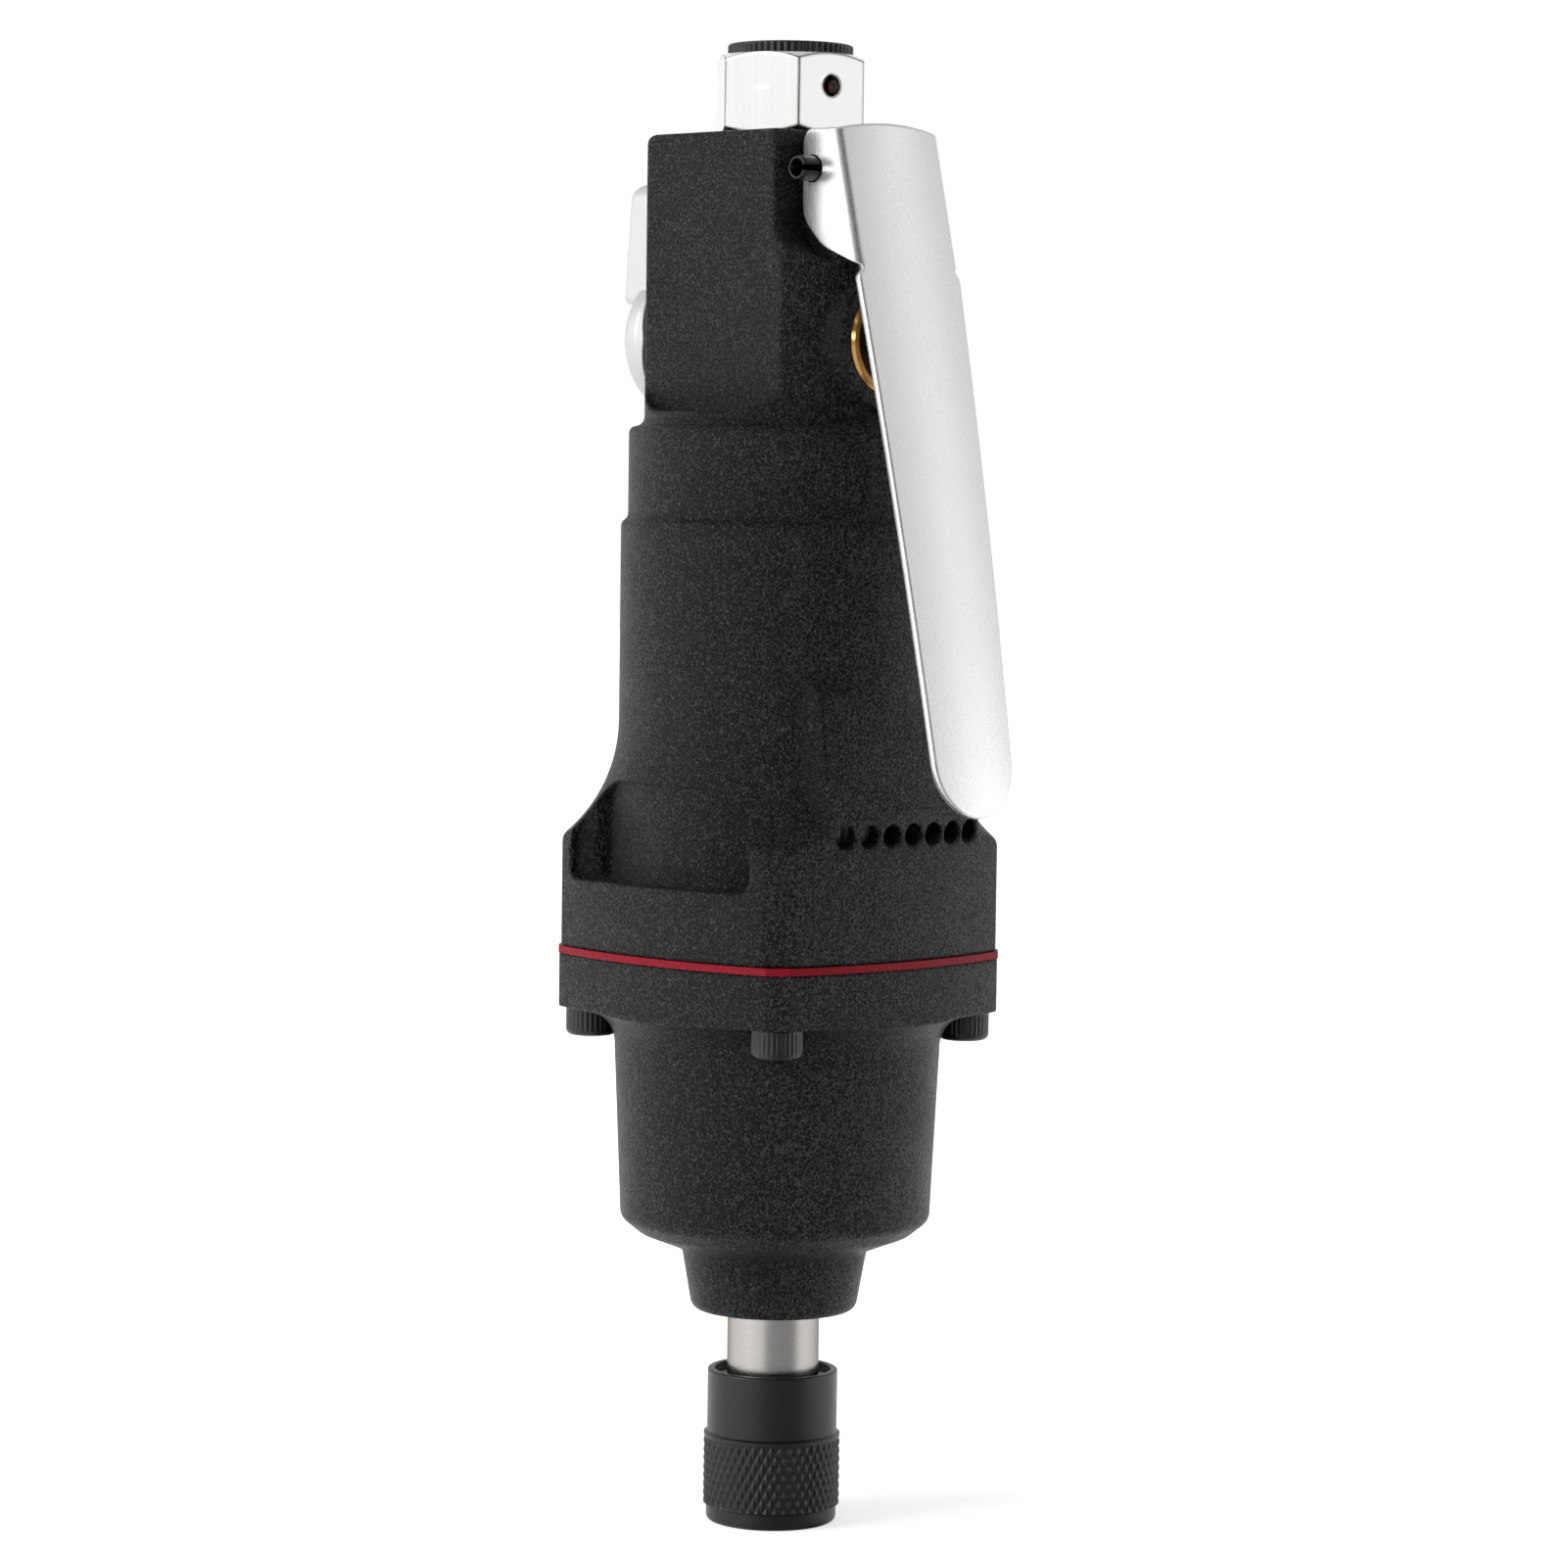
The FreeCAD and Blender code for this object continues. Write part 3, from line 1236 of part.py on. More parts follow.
# ================================================================ air inlet
def inlet_bushing():
    """Wrench hex with a threaded spigot; holds the swivel on a race of balls."""
    corner = hex_across_flats / math.sqrt(3)
    hex_bar = hexagon(hex_across_flats, head_top, hex_top, hex_turn)
    fall = hex_chamfer * math.tan(math.radians(hex_chamfer_angle))
    turned_corners = turned(
        (0, head_top), (corner - hex_chamfer, head_top), (corner, head_top + fall),
        (corner, hex_top - fall), (corner - hex_chamfer, hex_top), (0, hex_top))
    body = hex_bar.common(turned_corners).fuse(rod(inlet_spigot_radius, spigot_low, head_top))
    fill = rod_x(fill_hole_radius, swivel_radius, hex_across_flats, race_z)
    fill.rotate(CENTRE, ALONG_Z, hex_turn)
    cuts = [rod(swivel_bore, swivel_low - free_gap, hex_top + overshoot),
            rod(inlet_lip_radius, spigot_low - overshoot, hex_top),
            torus(swivel_radius, swivel_ball_radius + running_clearance, V(0, 0, race_z)), fill]
    return body.cut(cuts).removeSplitter()


def inlet_swivel():
    """Free-turning threaded insert with a knurled collar above the hex."""
    collar = turned_rounded(
        ((0, hex_top + running_clearance), 0), ((swivel_collar_radius, hex_top + running_clearance), 0),
        ((swivel_collar_radius, swivel_top), swivel_collar_round), ((0, swivel_top), 0))
    body = collar.fuse(rod(swivel_radius, swivel_low, swivel_top - swivel_collar_round))
    seal_z = swivel_low + swivel_seal_above_tail
    seal_room = swivel_seal_wire + seat_clearance
    cuts = [rod(inlet_thread_radius, swivel_top - inlet_thread_length, swivel_top + overshoot),
            rod(inlet_through_radius, swivel_low - overshoot, swivel_top),
            Part.makeCone(inlet_thread_radius, inlet_thread_radius + inlet_chamfer, inlet_chamfer,
                          V(0, 0, swivel_top - inlet_chamfer), ALONG_Z),
            torus(swivel_radius, swivel_ball_radius + running_clearance, V(0, 0, race_z)),
            tube(swivel_radius + overshoot, swivel_radius - 2 * swivel_seal_wire, seal_z - seal_room,
                 seal_z + seal_room)]
    return body.cut(cuts).removeSplitter()


def swivel_balls():
    return Part.makeCompound(around(Part.makeSphere(swivel_ball_radius, V(swivel_radius, 0, race_z)),
                                    swivel_ball_count))


def swivel_seal():
    return torus(swivel_radius - swivel_seal_wire, swivel_seal_wire,
                 V(0, 0, swivel_low + swivel_seal_above_tail))


def inlet_screen():
    """Perforated cup clamped under the inlet bushing."""
    high = spigot_low
    low = high - screen_rim - screen_cup_depth
    cup = rod(screen_rim_radius, high - screen_rim, high).fuse(rod(screen_cup_radius, low, high))
    inside = rod(screen_cup_radius - screen_wall, low + screen_wall, high + overshoot)
    holes = [rod(screen_hole_radius, low - overshoot, low + overshoot)]
    for hole_count, place in screen_hole_rings:
        holes += around(rod(screen_hole_radius, low - overshoot, low + overshoot, place), hole_count)
    return cup.cut([inside] + holes).removeSplitter()


# ================================================================ all the pieces
front_bearing = bearing(front_shaft_radius, front_bearing_radius, joint_face,
                        front_plate_high - plate_web, front_bearing_balls)
rear_bearing = bearing(rear_shaft_radius, rear_bearing_radius, liner_high + plate_web,
                       rear_plate_high, rear_bearing_balls)

pieces = {
    "motor_housing": motor_housing(),
    "hammer_case": hammer_case(),
    "flange_gasket": flange_gasket(),
    "case_screws": case_screws(),
    "chuck_sleeve": chuck_sleeve(),
    "anvil": anvil(),
    "front_retaining_ring": front_retaining_ring(),
    "front_washer": front_washer(),
    "chuck_spring": chuck_spring(),
    "chuck_stop_washer": chuck_stop_washer(),
    "bit_ball": bit_ball(),
    "anvil_bushing": anvil_bushing(),
    "nose_seal": nose_seal(),
    "hammer_cage": hammer_cage(),
    "front_hammer": hammer(front_hammer_low, 0),
    "rear_hammer": hammer(rear_hammer_low, 180),
    "hammer_pins": hammer_pins(),
    "front_end_plate": front_end_plate(),
    "rear_end_plate": rear_end_plate(),
    "motor_liner": motor_liner(),
    "liner_dowels": liner_dowels(),
    "rotor": rotor(),
    "vanes": vanes(),
    "front_bearing_outer_race": front_bearing[0],
    "front_bearing_inner_race": front_bearing[1],
    "front_bearing_balls": front_bearing[2],
    "rear_bearing_outer_race": rear_bearing[0],
    "rear_bearing_inner_race": rear_bearing[1],
    "rear_bearing_balls": rear_bearing[2],
    "throttle_bushing": throttle_bushing(),
    "throttle_plunger": throttle_plunger(),
    "throttle_seal": throttle_seal(),
    "throttle_spring": throttle_spring(),
    "throttle_lever": throttle_lever(),
    "lever_pin": lever_pin(),
    "reverse_knob": reverse_knob(),
    "reverse_spool": reverse_spool(),
    "reverse_seal": reverse_seal(),
    "reverse_knob_screw": reverse_knob_screw(),
    "reverse_retaining_pin": reverse_retaining_pin(),
    "detent_ball": detent_ball(),
    "detent_spring": detent_spring(),
    "inlet_bushing": inlet_bushing(),
    "inlet_swivel": inlet_swivel(),
    "swivel_balls": swivel_balls(),
    "swivel_seal": swivel_seal(),
    "inlet_screen": inlet_screen(),
}

os.makedirs("parts", exist_ok=True)
for name, shape in pieces.items():
    shape.exportStep("parts/" + name + ".step")
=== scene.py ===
"""Looks of the air impact screwdriver: fine surface forms, materials, camera, floor and light.

Metres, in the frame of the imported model. The tool axis is Z and the chuck stands on Z = 0;
the throttle lever is on the +X side and the reverse knob on the -X side.
"""
import math

import bmesh
import bpy
from mathutils import Matrix, Vector


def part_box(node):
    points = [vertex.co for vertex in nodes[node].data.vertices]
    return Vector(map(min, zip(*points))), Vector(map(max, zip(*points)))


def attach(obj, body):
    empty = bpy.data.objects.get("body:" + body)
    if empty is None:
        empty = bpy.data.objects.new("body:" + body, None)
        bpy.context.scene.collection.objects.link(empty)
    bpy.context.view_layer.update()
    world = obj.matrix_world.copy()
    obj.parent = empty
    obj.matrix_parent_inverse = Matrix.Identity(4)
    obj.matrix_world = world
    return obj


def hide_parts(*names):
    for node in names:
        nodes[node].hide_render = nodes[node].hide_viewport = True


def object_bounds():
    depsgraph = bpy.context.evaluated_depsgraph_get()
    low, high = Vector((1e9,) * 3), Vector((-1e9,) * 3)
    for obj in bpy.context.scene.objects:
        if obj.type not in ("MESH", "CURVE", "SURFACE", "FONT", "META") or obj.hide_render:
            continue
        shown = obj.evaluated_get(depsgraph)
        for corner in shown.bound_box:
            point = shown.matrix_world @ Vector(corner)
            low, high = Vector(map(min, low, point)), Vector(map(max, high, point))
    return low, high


MM = 0.001
TURN = 2 * math.pi
HAIR = 1e-6             # allowance for rounding when two lengths are compared
SAME_POINT = 1e-8       # points closer than this are one point

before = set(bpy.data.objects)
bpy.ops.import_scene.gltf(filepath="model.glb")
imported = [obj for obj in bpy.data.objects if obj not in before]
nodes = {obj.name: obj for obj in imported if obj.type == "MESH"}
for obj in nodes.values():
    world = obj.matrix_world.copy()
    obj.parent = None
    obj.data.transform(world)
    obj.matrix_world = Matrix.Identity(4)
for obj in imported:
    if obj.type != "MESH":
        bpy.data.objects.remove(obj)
cad_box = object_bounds()
scene = bpy.context.scene


def low(node):
    """Corner of a CAD piece's box with the smallest x, y and z."""
    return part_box(node)[0]


def high(node):
    """Corner of a CAD piece's box with the largest x, y and z."""
    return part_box(node)[1]


# ================================================================== material builder
MIX_COLOURS = (6, 7)        # the Mix node's two colour inputs
MIX_COLOUR_RESULT = 2       # and its colour output
BEVEL_SAMPLES = 6


class Wiring:
    """Makes the nodes of one shader tree and links them."""

    def __init__(self, tree):
        self.tree = tree

    def feed(self, socket, value):
        """Link a socket to another node's output, or give it a constant."""
        if isinstance(value, bpy.types.NodeSocket):
            self.tree.links.new(value, socket)
        else:
            socket.default_value = value

    def add(self, kind, inputs=None, **settings):
        """New node with its settings, fed with its inputs by name."""
        node = self.tree.nodes.new(kind)
        for name, value in settings.items():
            setattr(node, name, value)
        for name, value in (inputs or {}).items():
            self.feed(node.inputs[name], value)
        return node

    def operate(self, kind, operation, values):
        """Outputs of a maths node of either kind."""
        node = self.add(kind, operation=operation)
        for socket, value in zip(node.inputs, values):
            self.feed(socket, value)
        return node.outputs

    def maths(self, operation, *values):
        """Result of an operation on numbers."""
        return self.operate("ShaderNodeMath", operation, values)["Value"]

    def vector(self, operation, *values):
        """Outputs of an operation on vectors."""
        return self.operate("ShaderNodeVectorMath", operation, values)

    def remap(self, value, from_low, from_high, to_low, to_high, **settings):
        """Value carried from one range over to another and held at its ends."""
        return self.add("ShaderNodeMapRange", {
            "Value": value, "From Min": from_low, "From Max": from_high,
            "To Min": to_low, "To Max": to_high}, **settings).outputs["Result"]

    def pick(self, factor, one, two):
        """Number between two numbers."""
        return self.add("ShaderNodeMix", {"Factor": factor, "A": one, "B": two}).outputs["Result"]

    def blend(self, factor, one, two):
        """Colour between two colours."""
        node = self.add("ShaderNodeMix", {"Factor": factor}, data_type="RGBA")
        for index, value in zip(MIX_COLOURS, (one, two)):
            linked = isinstance(value, bpy.types.NodeSocket)
            self.feed(node.inputs[index], value if linked else (*value, 1))
        return node.outputs[MIX_COLOUR_RESULT]


class Finish(Wiring):
    """One procedural material: a Principled shader and the nodes that feed it, in the piece's own space."""

    def __init__(self, name, **sockets):
        self.material = bpy.data.materials.new(name)
        self.material.use_nodes = True
        super().__init__(self.material.node_tree)
        self.shader = self.tree.nodes["Principled BSDF"]
        for socket, value in sockets.items():
            title = socket.replace("_", " ").title().replace("Ior", "IOR")
            self.shader.inputs[title].default_value = value
        self.place = self.add("ShaderNodeTexCoord").outputs["Object"]
        self.normal = None

    def stretched(self, stretch):
        """The piece's own coordinates, so that a texture comes out longer along each axis by that factor."""
        scale = [1 / factor for factor in stretch]
        return self.add("ShaderNodeMapping", {"Vector": self.place, "Scale": scale}).outputs["Vector"]

    def noise(self, grain, detail, stretch=(1, 1, 1), rough=0.5):
        """Noise with features of about the given size."""
        return self.add("ShaderNodeTexNoise", {
            "Vector": self.stretched(stretch), "Scale": 1 / grain, "Detail": detail,
            "Roughness": rough}).outputs["Fac"]

    def soften(self, radius):
        """Small rounded edges in the shading."""
        bevel = self.add("ShaderNodeBevel", {"Radius": radius}, samples=BEVEL_SAMPLES)
        self.normal = bevel.outputs["Normal"]

    def bump(self, height, depth):
        """Relief of the given depth, on top of any rounded edges so far."""
        inputs = {"Height": height, "Distance": depth, "Strength": 1.0}
        if self.normal:
            inputs["Normal"] = self.normal
        self.normal = self.add("ShaderNodeBump", inputs).outputs["Normal"]

    def drive(self, socket, value):
        """Link a node's output to one of the shader's own sockets."""
        self.tree.links.new(value, self.shader.inputs[socket])

    def done(self, colour, roughness):
        """The finished material, with its colour, roughness and relief linked."""
        self.drive("Base Color", colour)
        self.drive("Roughness", roughness)
        self.drive("Normal", self.normal)
        return self.material


COAT_WRINKLE = 0.62 * MM
COAT_GRAIN = 0.3 * MM
COAT_PATCH = 7 * MM         # size of the duller and glossier areas
COAT_RELIEF = 0.32 * MM
COAT_HOLLOW_SHADE = (0.003, 0.003, 0.0032)
COAT_CREST_HIGHLIGHT = (0.026, 0.026, 0.0265)
COAT_GLINT = (0.12, 0.12, 0.12)
GLINT_CELL = 0.7 * MM       # each cell of this size may hold one painted glint, a pale speck


def sand_coat(name):
    """Black powder coat: fine wrinkled grain, with painted highlight on its crests, painted shade in its
    hollows and a few painted glints as pale specks.
    """
    finish = Finish(name, metallic=0.0, ior=1.45)
    swirl = finish.noise(COAT_WRINKLE, 2.0, rough=0.6)
    beside = finish.maths("ABSOLUTE", finish.maths("SUBTRACT", swirl, 0.5))
    crest = finish.remap(beside, 0.0, 0.08, 1.0, 0.0)
    fine = finish.noise(COAT_GRAIN, 1.0)
    patch = finish.noise(COAT_PATCH, 2.0)
    grain = finish.maths("ADD", finish.maths("MULTIPLY", crest, 0.55), finish.maths("MULTIPLY", fine, 0.9))
    tops = finish.maths("POWER", finish.remap(grain, 0.3, 1.1, 0.0, 1.0), 2.2)
    # painted highlight and shade: the colour is lighter on the grain's crests and darker in its hollows
    coat = finish.blend(tops, COAT_HOLLOW_SHADE, COAT_CREST_HIGHLIGHT)
    # painted glints: a few pale specks in the colour stand in for sparkle on the coat
    cells = finish.add("ShaderNodeTexVoronoi", {"Vector": finish.place, "Scale": 1 / GLINT_CELL})
    chance = finish.add("ShaderNodeSeparateColor", {"Color": cells.outputs["Color"]}).outputs["Red"]
    chosen = finish.remap(chance, 0.82, 0.87, 0.0, 1.0)
    spot = finish.remap(cells.outputs["Distance"], 0.1, 0.24, 1.0, 0.0)
    colour = finish.blend(finish.maths("MULTIPLY", chosen, spot), coat, COAT_GLINT)
    rough = finish.remap(finish.maths("ADD", patch, fine), 0.7, 1.3, 0.38, 0.5)
    finish.drive("Specular IOR Level", finish.remap(tops, 0.0, 1.0, 0.14, 1.0))
    finish.bump(grain, COAT_RELIEF)
    return finish.done(colour, rough)


NOISE_LOW, NOISE_HIGH = 0.3, 0.7        # range that nearly all of a noise lies in
METAL_CLOUD = 6 * MM
METAL_EDGE = 0.12 * MM
METAL_SPREAD = 0.06         # how far the roughness strays each way


def metal(name, colour, rough, grain, depth, stretch=(1, 1, 1), tint=0.82, metallic=1.0, rim=1.0):
    """Bare, plated or silver-painted metal with fine tool marks along the stretched directions."""
    finish = Finish(name, metallic=metallic, specular_tint=(rim, rim, rim, 1))
    marks = finish.noise(grain, 3.0, stretch)
    cloud = finish.noise(METAL_CLOUD, 2.0)
    darker = tuple(tint * part for part in colour)
    base = finish.blend(finish.maths("MULTIPLY", marks, cloud), darker, colour)
    finish.soften(METAL_EDGE)
    finish.bump(marks, depth)
    return finish.done(base, finish.remap(marks, NOISE_LOW, NOISE_HIGH, rough - METAL_SPREAD,
                                          rough + METAL_SPREAD))


ROUND_Z = (12, 12, 1)       # tool marks that run round the axis
ALONG_Z = (1, 1, 40)        # marks that run along it
ACROSS_X = (1, 12, 12)      # marks that run round a valve's axis
# dark brown of the painted shade and dark reflection along the plate's edges
PLATE_EDGE_SHADE = (0.1, 0.075, 0.06)
PLATE_BRIGHT = (0.88, 0.88, 0.88)
PLATE_SHADED_EDGE_ROUND = 0.65 * MM


def bright_plate():
    """Bright nickel plate, with painted shade and dark reflection along its rounded edges."""
    finish = Finish("bright_plate", metallic=1.0)
    marks = finish.noise(0.4 * MM, 3.0, ALONG_Z)
    flat = finish.add("ShaderNodeNewGeometry").outputs["Normal"]
    finish.soften(PLATE_SHADED_EDGE_ROUND)
    # painted shade: the colour darkens where the rounded normal turns away from the flat face, along the
    # edges
    likeness = finish.vector("DOT_PRODUCT", flat, finish.normal)["Value"]
    face = finish.remap(likeness, 0.96, 0.999, 0.0, 1.0)
    finish.bump(marks, 0.002 * MM)
    return finish.done(finish.blend(face, PLATE_EDGE_SHADE, PLATE_BRIGHT),
                       finish.remap(marks, NOISE_LOW, NOISE_HIGH, 0.07, 0.13))


OXIDE_DARK = (0.003, 0.003, 0.003)
OXIDE_PALE = (0.008, 0.0078, 0.0075)
OXIDE_SPREAD = 0.08


def black_oxide(name, rough):
    """Oil-black oxide on steel: dark, a little uneven, semi-gloss."""
    finish = Finish(name, metallic=0.0, ior=1.42)
    cloud = finish.noise(3 * MM, 4.0)
    fine = finish.noise(0.3 * MM, 2.0)
    colour = finish.blend(cloud, OXIDE_DARK, OXIDE_PALE)
    finish.soften(0.1 * MM)
    finish.bump(fine, 0.006 * MM)
    return finish.done(colour, finish.remap(fine, NOISE_LOW, NOISE_HIGH, rough - OXIDE_SPREAD,
                                            rough + OXIDE_SPREAD))


MOULDED_SPREAD = 0.06


def moulded(name, dark, light, rough, grain, depth, shine=0.5):
    """Rubber, laminate or sheet with its own grain."""
    finish = Finish(name, metallic=0.0, specular_ior_level=shine)
    fibre = finish.noise(grain, 4.0)
    finish.bump(fibre, depth)
    pale = finish.remap(fibre, NOISE_LOW, NOISE_HIGH, 0.0, 1.0)
    return finish.done(finish.blend(pale, dark, light),
                       finish.remap(fibre, NOISE_LOW, NOISE_HIGH, rough - MOULDED_SPREAD,
                                    rough + MOULDED_SPREAD))


BRASS_SHADED = (0.03, 0.018, 0.008)
BRASS_BRIGHT = (0.9, 0.5, 0.16)
SHADE_EDGE = (6.15 * MM, 6.5 * MM)      # radii between which the painted shade in the counterbore gives way to the bright rim


def valve_brass():
    """Turned brass, bright on its rim, with painted shade inside the counterbore."""
    finish = Finish("turned_brass", metallic=1.0)
    marks = finish.noise(0.2 * MM, 3.0, ACROSS_X)
    corners = [vertex.co for vertex in nodes["throttle_bushing"].data.vertices]
    axis_z = (min(corner.z for corner in corners) + max(corner.z for corner in corners)) / 2
    split = finish.add("ShaderNodeSeparateXYZ", {"Vector": finish.place}).outputs
    level = finish.maths("SUBTRACT", split["Z"], axis_z)
    squares = [finish.maths("MULTIPLY", side, side) for side in (split["Y"], level)]
    radius = finish.maths("SQRT", finish.maths("ADD", *squares))
    # painted shade: the colour is dark inside the counterbore, where shade falls, and bright on the rim
    unshaded = finish.remap(radius, *SHADE_EDGE, 0.0, 1.0)
    finish.soften(0.15 * MM)
    finish.bump(marks, 0.003 * MM)
    return finish.done(finish.blend(unshaded, BRASS_SHADED, BRASS_BRIGHT),
                       finish.remap(unshaded, 0.0, 1.0, 0.55, 0.2))


FINISHES = {
    "housing_coat": sand_coat("powder_coat_housing"),
    "case_coat": sand_coat("powder_coat_case"),
    "gasket": moulded("red_gasket", (0.2, 0.004, 0.014), (0.36, 0.008, 0.024), 0.5, 0.5 * MM, 0.03 * MM,
                      shine=0.15),
    "black_screw": black_oxide("oxide_screw", 0.34),
    "black_sleeve": black_oxide("oxide_sleeve", 0.4),
    "turned_steel": metal("turned_steel", (0.44, 0.425, 0.41), 0.27, 0.25 * MM, 0.004 * MM, ROUND_Z,
                          rim=0.35),
    "bright_washer": metal("bright_washer", (0.75, 0.75, 0.75), 0.25, 0.4 * MM, 0.003 * MM),
    "spring_steel": metal("spring_steel", (0.5, 0.5, 0.51), 0.25, 0.3 * MM, 0.002 * MM),
    "bearing_steel": metal("bearing_steel", (0.66, 0.66, 0.67), 0.18, 0.3 * MM, 0.001 * MM, ROUND_Z),
    "hardened_steel": metal("hardened_steel", (0.36, 0.36, 0.37), 0.35, 0.4 * MM, 0.004 * MM),
    "greased_steel": metal("greased_steel", (0.16, 0.1, 0.075), 0.35, 0.4 * MM, 0.004 * MM, tint=0.5),
    "bronze": metal("sintered_bronze", (0.6, 0.4, 0.2), 0.45, 0.2 * MM, 0.01 * MM),
    "seal_rubber": moulded("seal_rubber", (0.015, 0.015, 0.015), (0.03, 0.03, 0.03), 0.55, 0.4 * MM,
                           0.01 * MM),
    "vane_plastic": moulded("vane_laminate", (0.2, 0.12, 0.06), (0.36, 0.24, 0.13), 0.6, 0.5 * MM,
                            0.01 * MM),
    "brass": valve_brass(),
    "bright_pin": metal("ground_pin", (0.65, 0.65, 0.65), 0.2, 0.2 * MM, 0.002 * MM, ALONG_Z),
    "lever_chrome": metal("satin_chrome", (0.7, 0.7, 0.7), 0.27, 0.16 * MM, 0.0025 * MM, ALONG_Z,
                          tint=0.95, metallic=0.72),
    "black_pin": black_oxide("oxide_pin", 0.3),
    "knob_silver": metal("silver_casting", (0.66, 0.66, 0.66), 0.42, 0.3 * MM, 0.006 * MM, tint=0.93,
                         metallic=0.3),
    "bright_hex": bright_plate(),
    "black_swivel": black_oxide("oxide_swivel", 0.34),
}


# ================================================================== piece builders
def grid(place, rows, columns, round_rows=False, round_columns=False):
    """Mesh whose point (row, column) is place(row, column), closed round in either direction."""
    mesh = bmesh.new()
    points = [[mesh.verts.new(place(row, column)) for column in range(columns)] for row in range(rows)]
    for row in range(rows if round_rows else rows - 1):
        for column in range(columns if round_columns else columns - 1):
            right, up = (column + 1) % columns, (row + 1) % rows
            mesh.faces.new((points[row][column], points[row][right], points[up][right], points[up][column]))
    return mesh, points


def piece_from(mesh, name, body, slot, *stands_for):
    """Object from a finished bmesh, riding on its body with the slot's finish."""
    bmesh.ops.remove_doubles(mesh, verts=mesh.verts, dist=SAME_POINT)
    bmesh.ops.dissolve_degenerate(mesh, edges=mesh.edges, dist=SAME_POINT)
    bmesh.ops.recalc_face_normals(mesh, faces=mesh.faces)
    data = bpy.data.meshes.new(name)
    mesh.to_mesh(data)
    mesh.free()
    return place_piece(data, name, body, slot, *stands_for)


def place_piece(data, name, body, slot, *stands_for):
    """Object from finished mesh data, riding on its body in place of the CAD pieces it stands for."""
    data.materials.clear()
    data.materials.append(FINISHES[slot])
    piece = bpy.data.objects.new(name, data)
    scene.collection.objects.link(piece)
    shade(data)
    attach(piece, body)
    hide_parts(*stands_for)
    return piece


CREASE = math.radians(38)       # faces that meet at more than this keep a sharp edge between them


def shade(data):
    """Smooth shading with the sharp edges kept."""
    data.shade_smooth()
    data.set_sharp_from_angle(angle=CREASE)


def rounded(corners, steps=5):
    """Points of a closed outline from (u, v, rounding radius) corners."""
    points = []
    for index, (u, v, radius) in enumerate(corners):
        corner = Vector((u, v))
        if not radius:
            points.append(corner)
            continue
        before = (Vector(corners[index - 1][:2]) - corner).normalized()
        after = (Vector(corners[(index + 1) % len(corners)][:2]) - corner).normalized()
        half = before.angle(after) / 2
        centre = corner + (before + after).normalized() * radius / math.sin(half)
        start = corner + before * radius / math.tan(half) - centre
        end = corner + after * radius / math.tan(half) - centre
        sweep = start.angle_signed(end)
        for step in range(steps + 1):
            turn = -sweep * step / steps
            points.append(centre + Matrix.Rotation(turn, 2) @ start)
    return points


def divided(points, longest):
    """The same closed outline with its long runs cut into short ones."""
    result = []
    for here, there in zip(points, points[1:] + points[:1]):
        count = max(1, math.ceil((there - here).length / longest))
        result += [here.lerp(there, step / count) for step in range(count)]
    return result


def turned(outline, columns, change=None):
    """Ring turned about the tool axis from a closed outline of (radius, height)."""
    def place(row, column):
        """Point of the ring, after any change of its radius."""
        radius, height = outline[row]
        angle = TURN * column / columns
        if change:
            radius = change(radius, height, angle)
        return radius * math.cos(angle), radius * math.sin(angle), height
    return grid(place, len(outline), columns, round_rows=True, round_columns=True)[0]


def groove(position, width):
    """Depth from 0 to 1 of evenly spaced V grooves, one at each whole position; width is their share."""
    nearest = abs(position - round(position)) * 2
    return max(0.0, 1 - nearest / width)


def fade(value, start, end, ramp):
    """1 between start and end, falling to 0 outside over the ramp."""
    return max(0.0, min(1.0, (value - start) / ramp + 1, (end - value) / ramp + 1))


# ------------------------------------------------------------------ castings
def cast_skin(name, node, body, slot, voxel, passes, extra=None):
    """Copy of a cast piece, with any extra form melted in and the soft edges of a real casting."""
    form = nodes[node].data.copy()
    if extra:
        whole = bmesh.new()
        whole.from_mesh(form)
        whole.from_mesh(extra)
        whole.to_mesh(form)
        whole.free()
    copy = bpy.data.objects.new(name + "_form", form)
    scene.collection.objects.link(copy)
    remesh = copy.modifiers.new("cast", "REMESH")
    remesh.mode = "VOXEL"
    remesh.voxel_size = voxel
    soften = copy.modifiers.new("soften", "SMOOTH")
    soften.factor = 0.5
    soften.iterations = passes
    graph = bpy.context.evaluated_depsgraph_get()
    data = bpy.data.meshes.new_from_object(copy.evaluated_get(graph))
    bpy.data.objects.remove(copy)
    data.name = name
    place_piece(data, name, body, slot, node)
    data.set_sharp_from_angle(angle=math.pi)


KNOB_RADIUS = 10 * MM
KNOB_DISC = 2.6 * MM            # the disc's thickness in the CAD piece
KNOB_TURN = math.radians(30)    # each way
KNOB_SKIRT_WALL = 1.5 * MM
KNOB_SKIRT_INSET = 0.1 * MM
KNOB_SKIRT_GAP = 0.3 * MM       # between skirt and head
KNOB_SKIRT_COLUMNS = 120
HEAD_RADIUS = 19.45 * MM        # of the head behind the knob


